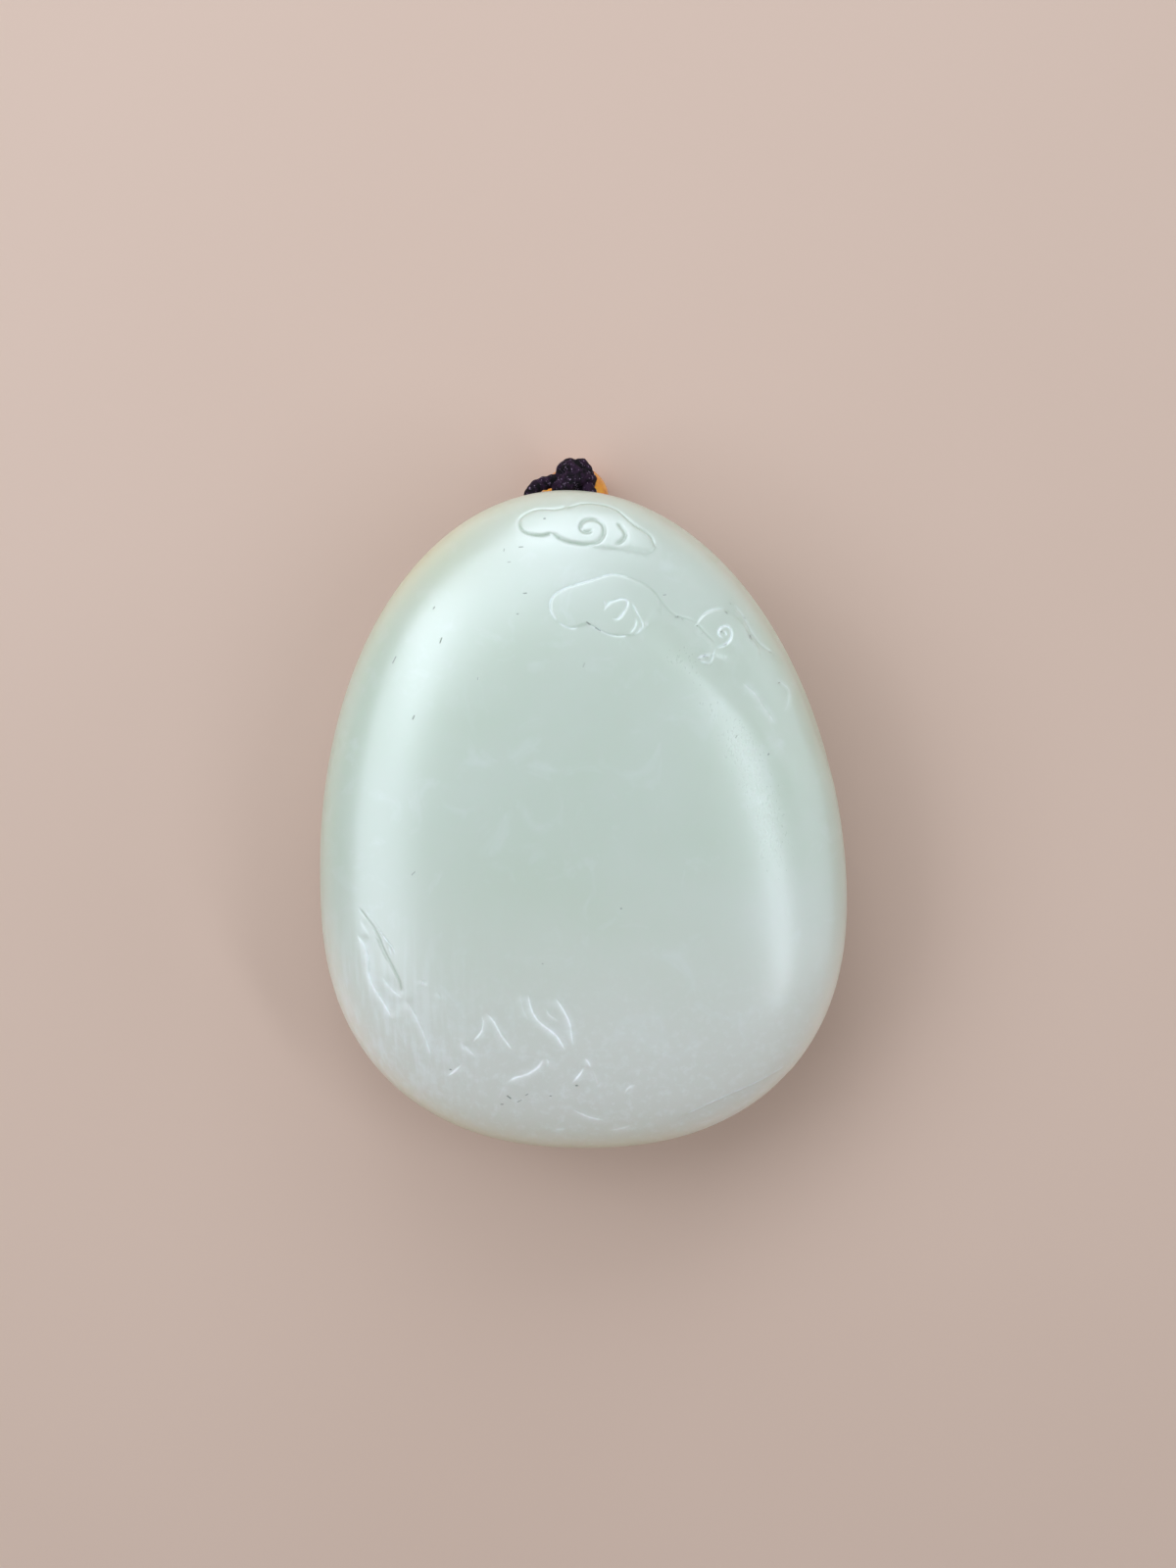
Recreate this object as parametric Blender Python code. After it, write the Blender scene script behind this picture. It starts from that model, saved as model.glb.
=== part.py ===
"""Palm-sized jade pebble carved with scroll clouds over mountain ridges, on its cord.

The pebble lies on its back, with the carved face up.  +Y points to the end with the
cord hole, +X is to the right as the carving is seen, and the origin is under the
middle of the pebble, on the surface that it rests on.
"""
import math

import bmesh
import bpy
import numpy as np
from mathutils import Matrix, Vector

MM = 0.001

# The pebble is an egg in outline, a low dome in front and a fuller dome behind
HALF_WIDTH = 25.7 * MM
UPPER_LENGTH = 39.4 * MM        # from the widest line to the end with the hole
LOWER_LENGTH = 25.0 * MM        # from the widest line to the mountain end
UPPER_EXPONENT = 2.02           # superellipse exponents of the two ends
LOWER_EXPONENT = 2.30
LEAN = 1.7 * MM                 # the upper end leans this far to the left
LEAN_EASE = 0.15                # length over which the lean sets in, as a share
RIM_HEIGHT = 13.0 * MM          # the rim above the surface it rests on
FACE_RISE = 9.0 * MM            # the carved face above the rim
FACE_EXPONENT = 2.8
BACK_EXPONENT = 2.0
BACK_SHIFT = 5.5 * MM           # the back is fullest this far above the widest line
FLAT_DEPTH = 0.4 * MM           # ground off the back, so that it lies without rolling
EGG_SEGMENTS = 64
EGG_RINGS = 36

# Low relief on the face
CLOUD_RISE = 0.3 * MM
CLOUD_ROOT = 3.0 * MM           # how far a cloud's solid starts under its own face
GROOVE_RADIUS = 0.3 * MM
GROOVE_TIP = 0.25               # radius of a groove's ends, as a share of its middle
GROOVE_FULLNESS = 1.6           # how soon a groove grows to its full radius

# Clouds as strokes of round brush marks.  Each mark is an x, a y and a radius.  In all the
# carving, x and radius are in hundredths of the half width, and y in hundredths of the
# pebble's length, from its middle.
CLOUDS = {
    "upper": [(-19.5, 45.3, 4.7), (-12.5, 45.5, 4.7), (-8.2, 45.3, 4.3), (2.3, 45.0, 7.4),
              (12.5, 44.9, 5.1), (18.7, 43.8, 3.1), (24.9, 42.2, 1.2)],
    "middle": [(-5.1, 33.1, 7.0), (1.9, 33.5, 6.6), (11.3, 33.4, 10.5), (19.1, 34.8, 5.1),
               (24.1, 34.8, 2.7), (30.0, 34.2, 1.0)],
    "side": [(49.0, 29.2, 7.8), (55.6, 26.7, 7.4), (63.4, 22.8, 6.2), (69.6, 18.5, 3.5),
             (72.4, 15.8, 1.2)],
}
# Scrolls cut into the clouds: centre x and y, outer and inner radius, then the angle where
# the scroll starts and its turn, in degrees
SCROLLS = {
    "upper": (2.3, 44.7, 4.9, 1.4, -60.0, 400.0),
    "middle": (11.3, 33.2, 5.6, 1.8, -50.0, 380.0),
    "side": (50.6, 29.0, 4.1, 1.6, 150.0, -380.0),
}
SCROLL_STEPS = 18

# Cut lines of the landscape, x and y
CUT_LINES = {
    "crescent": [(11.3, 45.2), (14.4, 43.8), (11.3, 42.1)],
    "tall_ridge": [(-84.8, -11.5), (-74.7, -17.1), (-66.9, -24.8), (-58.0, -33.9)],
    "ridge_fold": [(-76.7, -13.5), (-72.0, -17.1), (-67.7, -21.1)],
    "outer_ridge": [(-82.5, -16.5), (-80.5, -21.1), (-77.0, -24.8), (-72.4, -28.3)],
    "near_peak_right": [(-38.5, -26.4), (-33.5, -28.3), (-26.8, -32.6)],
    "near_peak_left": [(-38.1, -27.3), (-38.5, -29.5), (-42.0, -31.7)],
    "low_peak": [(-51.4, -36.8), (-45.1, -32.9), (-40.5, -33.5)],
    "far_peak_left": [(-21.0, -23.6), (-18.7, -26.9), (-12.5, -29.5), (-7.4, -32.3)],
    "far_peak_right": [(-11.3, -24.2), (-6.2, -27.2), (-5.1, -31.4)],
    "bank": [(-28.8, -37.3), (-21.4, -35.7), (-14.8, -33.7)],
    "small_peak": [(-5.1, -37.3), (-1.2, -34.5), (2.7, -35.9)],
    "shore": [(-5.4, -41.5), (2.3, -42.9), (9.3, -43.3)],
    "ledge": [(35.0, -43.6), (48.2, -41.0), (63.0, -38.4), (75.5, -35.7)],
    "slope": [(58.4, 22.0), (64.6, 19.3), (69.3, 16.1)],
}
CUT_SPACING = 1.6 * MM

# Cord hole: a drilled tunnel that enters and leaves behind the rim at the upper end
HOLE_RADIUS = 1.05 * MM
HOLE_X = -2.4 * MM
HOLE_SPREAD = 6.0 * MM          # between the middles of its two mouths
HOLE_DROP = 2.5 * MM            # below the rim

# The bead lies under the upper rim, with the knot against it, just past the rim
BEAD_X = -1.0 * MM
BEAD_RADIUS = 3.4 * MM
BEAD_HEADROOM = 3.15 * MM       # from its top up to the pebble's back
BEAD_LIFT = 0.05 * MM           # between the bead and the surface that it lies on
BEAD_SLOPE = 50.0               # degrees, of its bore below the horizontal
BORE_CLEARANCE = 0.2 * MM       # round the two strands of cord in its bore
KNOT_RADIUS = 1.95 * MM
KNOT_SLOPE = 63.6               # degrees, of the line up from the bead's middle to the knot's
KNOT_CLEARANCE = 0.3 * MM       # between the knot and the bead
KNOT_FURROW = 0.10              # depth of the furrows between its turns, as a share
KNOT_TURNS = 4
KNOT_TWIST = 108.0              # degrees that the furrows turn from the middle to a pole

# Cord
CORD_RADIUS = 0.7 * MM
CORD_LIFT = 0.05 * MM           # between the cord and the surface that it lies on
STRAND_GAP = 0.1 * MM           # between the two strands in the bore
NODE_GAP = 0.35 * MM            # between a cord's end and the knot
CORD_STEP = 2.8 * MM            # between the points of the loop's tube
BAIL_STEP = 1.0 * MM
MERGE_DISTANCE = 0.001 * MM

# The bail's way, in millimetres from the knot's middle: where its two ends meet the knot, and
# the bow of its left arm.  Its entry is from the middle of the left mouth.
BAIL_LEFT_END = (-2.1, -0.74, 0.5)
BAIL_BOW = (-3.1, -1.0, 1.2)
BAIL_ENTRY = (0.45, 1.1, -0.15)
BAIL_RIGHT_END = (1.9, -2.2, 1.7)

# The hand loop's way round the pebble's foot, x and y in millimetres
LOOP_ROUTE = [
    (-3.2, 24.2), (-6.0, 21.8), (-10.8, 17.6), (-15.0, 11.8), (-17.6, 4.6),
    (-18.0, -3.2), (-16.4, -10.8), (-12.6, -17.4), (-7.0, -21.6), (-0.4, -22.9),
    (6.4, -21.6), (12.0, -17.6), (16.0, -11.0), (17.6, -3.2), (17.0, 4.6),
    (14.2, 11.8), (9.4, 17.8), (4.2, 21.8), (1.2, 24.2),
]
# A strand's way from the knot through the bead, y and z in millimetres from the bead's middle
BEAD_ROUTE = [
    (2.25, 2.9), (1.75, 1.9), (0.9, 0.95), (0.0, -0.05), (-0.9, -1.1), (-1.9, -2.05),
    (-3.1, -2.6), (-4.7, -2.7),
]

LENGTH = UPPER_LENGTH + LOWER_LENGTH
WIDEST_Y = (LOWER_LENGTH - UPPER_LENGTH) / 2.0
BACK_RISE = RIM_HEIGHT + FLAT_DEPTH
STRAND_X = CORD_RADIUS + STRAND_GAP / 2.0
BEAD_BORE_RADIUS = STRAND_X + CORD_RADIUS + BORE_CLEARANCE


def clear_scene():
    for item in list(bpy.data.objects):
        bpy.data.objects.remove(item, do_unlink=True)


def new_collection(name):
    collection = bpy.data.collections.new(name)
    bpy.context.scene.collection.children.link(collection)
    return collection


def material(name, color, roughness, metallic=0.0):
    made = bpy.data.materials.new(name)
    made.use_nodes = True
    shader = made.node_tree.nodes["Principled BSDF"]
    shader.inputs["Base Color"].default_value = (*color, 1.0)
    shader.inputs["Roughness"].default_value = roughness
    shader.inputs["Metallic"].default_value = metallic
    return made


def mesh_object(name, mesh, collection, made_of=None):
    item = bpy.data.objects.new(name, mesh)
    if made_of:
        mesh.materials.append(made_of)
    collection.objects.link(item)
    return item


def as_guide(item):
    item.hide_render = True
    item.display_type = "WIRE"
    return item


def curve_to_mesh(item, collection, made_of=None):
    """Replace a curve object by its welded mesh, under the same name."""
    name = item.name
    evaluated = item.evaluated_get(bpy.context.evaluated_depsgraph_get())
    mesh = bpy.data.meshes.new_from_object(evaluated)
    bm = bmesh.new()
    bm.from_mesh(mesh)
    bmesh.ops.remove_doubles(bm, verts=bm.verts, dist=MERGE_DISTANCE)
    bm.to_mesh(mesh)
    bm.free()
    mesh.materials.clear()
    place = item.matrix_world.copy()
    bpy.data.objects.remove(item, do_unlink=True)
    made = mesh_object(name, mesh, collection, made_of)
    made.matrix_world = place
    return made


def add_boolean(item, operation, tool=None, tools=None):
    cut = item.modifiers.new(operation.lower(), "BOOLEAN")
    cut.operation = operation
    cut.solver = "EXACT"
    if tools:
        cut.operand_type = "COLLECTION"
        cut.collection = tools
    else:
        cut.object = tool


def spline_points(route, step):
    """Evenly spaced points on the natural cubic spline through the route's points."""
    stations = np.array(route, dtype=float)
    spans = np.linalg.norm(np.diff(stations, axis=0), axis=1)
    along = np.concatenate([[0.0], np.cumsum(spans)])
    count = len(stations)
    system = np.eye(count)
    pull = np.zeros_like(stations)
    for i in range(1, count - 1):
        before, after = spans[i - 1], spans[i]
        system[i, i - 1:i + 2] = (before, 2.0 * (before + after), after)
        pull[i] = 6.0 * ((stations[i + 1] - stations[i]) / after
                         - (stations[i] - stations[i - 1]) / before)
    bend = np.linalg.solve(system, pull)
    fine = []
    for i in range(count - 1):
        span = spans[i]
        for share in np.linspace(0.0, 1.0, 24, endpoint=i == count - 2):
            left = 1.0 - share
            point = left * stations[i] + share * stations[i + 1]
            point += span ** 2 / 6.0 * ((left ** 3 - left) * bend[i]
                                        + (share ** 3 - share) * bend[i + 1])
            fine.append(point)
    fine = np.array(fine)
    run = np.concatenate([[0.0], np.cumsum(np.linalg.norm(np.diff(fine, axis=0), axis=1))])
    wanted = np.linspace(0.0, run[-1], max(2, round(run[-1] / step)) + 1)
    return np.stack([np.interp(wanted, run, fine[:, k]) for k in range(3)], axis=1)


def tube(name, points, radius, collection, made_of=None, resolution=2, tips=1.0):
    """A round bar along the points, its ends narrowed to a share of its radius."""
    curve = bpy.data.curves.new(name, "CURVE")
    curve.dimensions = "3D"
    curve.bevel_depth = radius
    curve.bevel_resolution = resolution
    curve.use_fill_caps = True
    path = curve.splines.new("POLY")
    path.points.add(len(points) - 1)
    for i, point in enumerate(points):
        path.points[i].co = (*point, 1.0)
        middle = math.sin(math.pi * i / (len(points) - 1))
        path.points[i].radius = tips + (1.0 - tips) * min(1.0, GROOVE_FULLNESS * middle)
    item = bpy.data.objects.new(name, curve)
    collection.objects.link(item)
    return curve_to_mesh(item, collection, made_of)


def power(value, exponent):
    return math.copysign(abs(value) ** exponent, value)


def lean_at(rise):
    share = rise / UPPER_LENGTH
    return -LEAN * (math.hypot(share, LEAN_EASE) + share) / 2.0


def egg_point(direction, proud=0.0):
    """The point of the pebble, or of one that stands proud of it, in a unit direction."""
    flat = math.hypot(direction.x, direction.y)
    across = direction.x / flat if flat > 1e-9 else 1.0
    along = direction.y / flat if flat > 1e-9 else 0.0
    in_front = direction.z >= 0.0
    dome = FACE_EXPONENT if in_front else BACK_EXPONENT
    rise = FACE_RISE if in_front else BACK_RISE
    end = UPPER_EXPONENT if along >= 0.0 else LOWER_EXPONENT
    length = UPPER_LENGTH if along >= 0.0 else LOWER_LENGTH
    reach = flat ** (2.0 / dome)
    y = reach * (length + proud) * power(along, 2.0 / end)
    x = reach * (HALF_WIDTH + proud) * power(across, 2.0 / end) + lean_at(y)
    z = RIM_HEIGHT + (rise + proud) * power(direction.z, 2.0 / dome)
    if not in_front:
        y += BACK_SHIFT * (1.0 - reach)
    return Vector((x, WIDEST_Y + y, max(z, 0.0)))


def face_height(x, y):
    """Height of the pebble's uncarved face over a point of its plan."""
    rise = y - WIDEST_Y
    end = UPPER_EXPONENT if rise >= 0.0 else LOWER_EXPONENT
    length = UPPER_LENGTH if rise >= 0.0 else LOWER_LENGTH
    out = (abs((x - lean_at(rise)) / HALF_WIDTH) ** end + abs(rise / length) ** end)
    out = min(1.0, out ** (1.0 / end))
    return RIM_HEIGHT + FACE_RISE * (1.0 - out ** FACE_EXPONENT) ** (1.0 / FACE_EXPONENT)


def back_edge(x, z):
    """The y where the pebble's back, at its upper end, passes a place and a height."""
    reach = (1.0 - (abs(RIM_HEIGHT - z) / BACK_RISE) ** BACK_EXPONENT) ** (1.0 / BACK_EXPONENT)
    across = abs(x - lean_at(UPPER_LENGTH)) / (reach * HALF_WIDTH)
    y = reach * UPPER_LENGTH * (1.0 - across ** UPPER_EXPONENT) ** (1.0 / UPPER_EXPONENT)
    return WIDEST_Y + y + BACK_SHIFT * (1.0 - reach)


def egg(name, collection, made_of=None, proud=0.0):
    bm = bmesh.new()
    bmesh.ops.create_uvsphere(bm, u_segments=EGG_SEGMENTS, v_segments=EGG_RINGS, radius=1.0)
    for vert in bm.verts:
        vert.co = egg_point(vert.co.normalized(), proud)
    mesh = bpy.data.meshes.new(name)
    bm.to_mesh(mesh)
    bm.free()
    mesh.shade_smooth()
    return mesh_object(name, mesh, collection, made_of)


def on_plan(x, y):
    """A place of the carving, from hundredths of the pebble's width and length."""
    return x / 100.0 * HALF_WIDTH, y / 100.0 * LENGTH


def brush_mark(x, y, radius):
    return (*on_plan(x, y), radius / 100.0 * HALF_WIDTH)


def brush_outline(start, end, sides=20):
    """The flat outline round two brush marks, each an x, a y and a radius."""
    a = Vector(start[:2])
    b = Vector(end[:2])
    heading = math.atan2(b.y - a.y, b.x - a.x)
    spread = math.acos(max(-1.0, min(1.0, (start[2] - end[2]) / (b - a).length)))
    outline = []
    for centre, radius, first, sweep in (
            (b, end[2], heading - spread, 2.0 * spread),
            (a, start[2], heading + spread, 2.0 * (math.pi - spread))):
        steps = max(2, round(sides * sweep / (2.0 * math.pi)))
        for i in range(steps + 1):
            angle = first + sweep * i / steps
            outline.append(centre + radius * Vector((math.cos(angle), math.sin(angle))))
    return outline


def cloud_blank(name, start, end, collection):
    """An upright slab with the outline of two brush marks, through the pebble's face."""
    curve = bpy.data.curves.new(name, "CURVE")
    curve.dimensions = "2D"
    curve.fill_mode = "BOTH"
    floor = min(face_height(x, y) for x, y, _ in (start, end))
    bottom = max(floor - CLOUD_ROOT, RIM_HEIGHT + CLOUD_RISE)
    top = RIM_HEIGHT + FACE_RISE + 2.0 * CLOUD_ROOT
    curve.extrude = (top - bottom) / 2.0
    outline = brush_outline(start, end)
    path = curve.splines.new("POLY")
    path.points.add(len(outline) - 1)
    for i, point in enumerate(outline):
        path.points[i].co = (point.x, point.y, 0.0, 1.0)
    path.use_cyclic_u = True
    item = bpy.data.objects.new(name, curve)
    item.location.z = (top + bottom) / 2.0
    collection.objects.link(item)
    bpy.context.view_layer.update()
    return as_guide(curve_to_mesh(item, collection))


def clouds(guides, blanks):
    """The clouds' raised solids: their slabs, trimmed to stand just proud of the face."""
    first = None
    for cloud, stroke in CLOUDS.items():
        marks = [brush_mark(*mark) for mark in stroke]
        for i in range(len(marks) - 1):
            home = blanks if first else guides
            blank = cloud_blank(f"{cloud}_cloud_{i + 1}", marks[i], marks[i + 1], home)
            first = first or blank
    skin = as_guide(egg("cloud_skin", guides, proud=CLOUD_RISE))
    add_boolean(first, "UNION", tools=blanks)
    add_boolean(first, "INTERSECT", skin)
    return first


def scroll_route(x, y, outer, inner, start, turn):
    centre_x, centre_y = on_plan(x, y)
    route = []
    for i in range(SCROLL_STEPS + 1):
        share = i / SCROLL_STEPS
        angle = math.radians(start + turn * share)
        radius = (outer + (inner - outer) * share) / 100.0 * HALF_WIDTH
        route.append((centre_x + radius * math.cos(angle), centre_y + radius * math.sin(angle)))
    return route


def cut_grooves(cutters):
    """Cutters for the scrolls, which lie on the clouds, and for the landscape's lines."""
    for cloud, scroll in SCROLLS.items():
        points = [(x, y, face_height(x, y) + CLOUD_RISE) for x, y in scroll_route(*scroll)]
        as_guide(tube(f"{cloud}_scroll", points, GROOVE_RADIUS, cutters,
                      resolution=0, tips=GROOVE_TIP))
    for name, line in CUT_LINES.items():
        flat = spline_points([(*on_plan(x, y), 0.0) for x, y in line], CUT_SPACING)
        points = [(x, y, face_height(x, y)) for x, y, _ in flat]
        as_guide(tube(name, points, GROOVE_RADIUS, cutters, resolution=0, tips=GROOVE_TIP))


def hole_mouths():
    """The places where the tunnel's two straight ends meet its half-round bend."""
    half = HOLE_SPREAD / 2.0
    z = RIM_HEIGHT - HOLE_DROP
    y = back_edge(HOLE_X - half, z)
    return Vector((HOLE_X - half, y, z)), Vector((HOLE_X + half, y, z))


def hole_bend(steps):
    left, right = hole_mouths()
    middle = (left + right) / 2.0
    half = HOLE_SPREAD / 2.0
    bend = []
    for i in range(steps + 1):
        angle = math.pi + math.pi * i / steps
        bend.append(middle + half * Vector((math.cos(angle), math.sin(angle), 0.0)))
    return bend


def hole_route():
    """The tunnel's middle line, from outside its left mouth to outside its right one."""
    bend = hole_bend(12)
    outside = Vector((0.0, 3.0 * HOLE_RADIUS, 0.0))
    return [bend[0] + outside] + bend + [bend[-1] + outside]


def jade_pebble(part, guides, blanks, cutters, jade):
    pebble = egg("jade_pebble", part, jade)
    add_boolean(pebble, "UNION", clouds(guides, blanks))
    cut_grooves(cutters)
    add_boolean(pebble, "DIFFERENCE", tools=cutters)
    tunnel = as_guide(tube("cord_hole", hole_route(), HOLE_RADIUS, guides))
    add_boolean(pebble, "DIFFERENCE", tunnel)


def bead_place():
    top = 2.0 * BEAD_RADIUS + BEAD_LIFT
    return Vector((BEAD_X, back_edge(BEAD_X, top + BEAD_HEADROOM), BEAD_RADIUS + BEAD_LIFT))


def knot_place():
    slope = math.radians(KNOT_SLOPE)
    apart = BEAD_RADIUS + KNOT_CLEARANCE + KNOT_RADIUS
    return bead_place() + apart * Vector((0.0, math.cos(slope), math.sin(slope)))


def beside_knot(way):
    """The place short of the knot where a cord that comes to it from one side stops."""
    return knot_place() + Vector(way).normalized() * (KNOT_RADIUS + NODE_GAP)


def cord_bail(part, thread):
    """The cord through the tunnel, from the knot's left side round to its right."""
    left, _ = hole_mouths()
    route = [
        beside_knot(BAIL_LEFT_END),
        knot_place() + Vector(BAIL_BOW) * MM,
        left + Vector(BAIL_ENTRY) * MM,
        *hole_bend(4),
        beside_knot(BAIL_RIGHT_END),
    ]
    tube("cord_bail", spline_points(route, BAIL_STEP), CORD_RADIUS, part, thread)


def cord_knot(part, thread):
    """The button knot, as a ball with shallow furrows between its turns."""
    bm = bmesh.new()
    bmesh.ops.create_uvsphere(bm, u_segments=24, v_segments=12, radius=1.0)
    for vert in bm.verts:
        way = vert.co.normalized()
        angle = math.atan2(way.y, way.x)
        twist = math.radians(KNOT_TWIST) * way.z
        furrow = 0.5 - 0.5 * math.cos(KNOT_TURNS * (angle + twist))
        level = 1.0 - way.z ** 2
        vert.co = way * KNOT_RADIUS * (1.0 - KNOT_FURROW * furrow * level)
    mesh = bpy.data.meshes.new("cord_knot")
    bm.to_mesh(mesh)
    bm.free()
    mesh.shade_smooth()
    mesh_object("cord_knot", mesh, part, thread).location = knot_place()


def amber_bead(part, guides, amber):
    """The bead under the pebble's rim, with both strands through its sloping bore."""
    turn = Matrix.Rotation(math.radians(90.0 - BEAD_SLOPE), 4, "X").inverted()
    bm = bmesh.new()
    bmesh.ops.create_uvsphere(bm, u_segments=24, v_segments=14, radius=BEAD_RADIUS)
    mesh = bpy.data.meshes.new("amber_bead")
    bm.to_mesh(mesh)
    bm.free()
    mesh.shade_smooth()
    bead = mesh_object("amber_bead", mesh, part, amber)
    bead.matrix_world = Matrix.Translation(bead_place()) @ turn
    bm = bmesh.new()
    bmesh.ops.create_cone(bm, cap_ends=True, segments=16, radius1=BEAD_BORE_RADIUS,
                          radius2=BEAD_BORE_RADIUS, depth=4.0 * BEAD_RADIUS)
    mesh = bpy.data.meshes.new("bead_bore")
    bm.to_mesh(mesh)
    bm.free()
    bore = as_guide(mesh_object("bead_bore", mesh, guides))
    bore.matrix_world = bead.matrix_world
    add_boolean(bead, "DIFFERENCE", bore)


def loop_route():
    """The hand loop: out of the knot, through the bead, round the pebble's foot and back."""
    bead = bead_place()
    low = CORD_RADIUS + CORD_LIFT
    left = [bead + Vector((-STRAND_X, y * MM, z * MM)) for y, z in BEAD_ROUTE]
    right = [bead + Vector((STRAND_X, y * MM, z * MM)) for y, z in reversed(BEAD_ROUTE)]
    return left + [Vector((x * MM, y * MM, low)) for x, y in LOOP_ROUTE] + right


def cord_loop(part, thread):
    tube("cord_loop", spline_points(loop_route(), CORD_STEP), CORD_RADIUS, part, thread)


def build():
    clear_scene()
    part = new_collection("jade_carving")
    guides = new_collection("guides")
    blanks = new_collection("cloud_blanks")
    cutters = new_collection("groove_cutters")
    jade = material("jade", (0.56, 0.68, 0.58), 0.30)
    thread = material("thread", (0.035, 0.018, 0.040), 0.80)
    amber = material("amber", (0.75, 0.30, 0.02), 0.15)
    jade_pebble(part, guides, blanks, cutters, jade)
    cord_bail(part, thread)
    cord_knot(part, thread)
    amber_bead(part, guides, amber)
    cord_loop(part, thread)


build()
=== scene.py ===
"""Looks of the carved jade pebble, lying face up on a pale floor with its cord.

Lengths are in millimetres until a mesh is made.  +Y points to the end with the cord
hole, +X is to the right as the carving is seen, and the floor is at z = 0.
"""
import math

import bmesh
import bpy
import numpy as np
from mathutils import Matrix, Vector


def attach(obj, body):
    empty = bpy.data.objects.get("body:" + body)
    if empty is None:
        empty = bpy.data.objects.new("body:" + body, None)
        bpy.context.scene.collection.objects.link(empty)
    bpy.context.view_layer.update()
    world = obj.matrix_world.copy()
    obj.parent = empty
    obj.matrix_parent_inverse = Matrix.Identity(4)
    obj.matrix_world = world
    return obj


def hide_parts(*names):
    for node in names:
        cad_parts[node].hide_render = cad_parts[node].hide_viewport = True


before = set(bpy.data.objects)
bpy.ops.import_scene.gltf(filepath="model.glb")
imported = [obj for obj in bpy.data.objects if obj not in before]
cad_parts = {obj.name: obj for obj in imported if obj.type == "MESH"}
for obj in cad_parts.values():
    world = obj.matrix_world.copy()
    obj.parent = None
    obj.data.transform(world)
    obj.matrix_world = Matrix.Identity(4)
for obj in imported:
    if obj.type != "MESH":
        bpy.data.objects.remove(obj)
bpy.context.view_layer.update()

MM = 0.001

# The pebble's form, as its solid has it
HALF_WIDTH = 25.7
UPPER_LENGTH = 39.4
LOWER_LENGTH = 25.0
UPPER_EXPONENT = 2.02           # superellipse exponents of the two ends
LOWER_EXPONENT = 2.30
LEAN = 1.7                      # the upper end leans this far to the left
LEAN_EASE = 0.15                # length over which the lean sets in, as a share
RIM_HEIGHT = 13.0
FACE_RISE = 9.0
FACE_EXPONENT = 2.8
FLAT_DEPTH = 0.4                # ground off the back, so that it lies without rolling
BACK_RISE = RIM_HEIGHT + FLAT_DEPTH
BACK_EXPONENT = 2.0
BACK_SHIFT = 5.5                # the back is fullest this far above the widest line
WIDEST_Y = (LOWER_LENGTH - UPPER_LENGTH) / 2.0

# Facets of the pebble's mesh: the edge lengths wanted, and how far beside a line, a flaw or a
# mouth of the cord hole they stay as fine
COARSE_EDGE = 1.1
FINE_EDGE = 0.085
FINE_MARGIN = 0.13
MARK_EDGE = 0.06
MARK_MARGIN = 0.15
MOUTH_EDGE = 0.2
MOUTH_MARGIN = 2.0
EDGE_GROWTH = 0.42              # how fast edges lengthen away from the carving
LONGEST_EDGE = 1.35             # an edge over this many times the wanted length is split
SPHERE_SUBDIVISIONS = 5
SPLIT_PASSES = 10
SHARP_ANGLE = 50.0              # degrees, over which an edge is shaded sharp
SPAN_STEPS = 24                 # fine steps of a spline from one of its points to the next

# Cord hole, with each mouth's lip rounded in
HOLE_RADIUS = 1.05
HOLE_SIDES = 32
HOLE_BEND_STEPS = 24
HOLE_LEFT = Vector((-5.4, 31.209, 10.5))
HOLE_RIGHT = Vector((0.6, 31.209, 10.5))
LIP_DEPTH = 0.45
LIP_RADIUS = 1.35
LIP_REACH = (3.0, 4.0)          # across the hole and along it

# Cord, a round braid
CORD_RADIUS = 0.7
CORD_LIFT = 0.05                # between the cord and the floor
CORD_STEP = 0.11                # between the rings of its mesh
STRAND_GAP = 0.1                # between the two strands in the bead
STRAND_X = CORD_RADIUS + STRAND_GAP / 2.0
BRAID_PITCH = 2.0
BRAID_STRANDS = 8
BRAID_DEPTH = 0.16
BRAID_SIDES = 18

# Bead
BEAD_PLACE = Vector((-1.0, 31.325, 3.45))
BEAD_RADIUS = 3.4
BORE_CLEARANCE = 0.2            # round the two strands
BEAD_BORE_RADIUS = STRAND_X + CORD_RADIUS + BORE_CLEARANCE
BEAD_SLOPE = 50.0               # degrees, of its bore below the horizontal
BEAD_SIDES = 72
BEAD_STEPS = 40
BORE_STEPS = 9
BORE_WAIST = 0.05               # how much narrower the bore is in its middle

# Knot, a band wound on a ball
KNOT_PLACE = Vector((-1.0, 33.837, 8.511))
KNOT_RADIUS = 1.95
KNOT_SHIFT = Vector((0.0, -0.35, 0.0))
KNOT_STRAND_RADIUS = 0.72
KNOT_STEPS = 520
KNOT_LEADS = 3
KNOT_BIGHTS = 4
KNOT_TILT = 28.0                # degrees, of its winding's axis from the vertical
KNOT_PHASE = 52.5               # degrees, of its winding about that axis
KNOT_LATITUDE = 1.0             # how far its winding swings from the middle, in radians
KNOT_REACH = 0.65               # of its strand's middle line, as a share of its radius
KNOT_WEAVE = 0.06               # over and under, as a share of its radius

# Collar under the knot
COLLAR_PLACE = Vector((-1.05, 32.7, 9.2))
COLLAR_RADII = (1.64, 1.0)      # across the carving and along it
COLLAR_TURNS = 1.6
COLLAR_PITCH = 0.9
COLLAR_STEPS = 200

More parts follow.
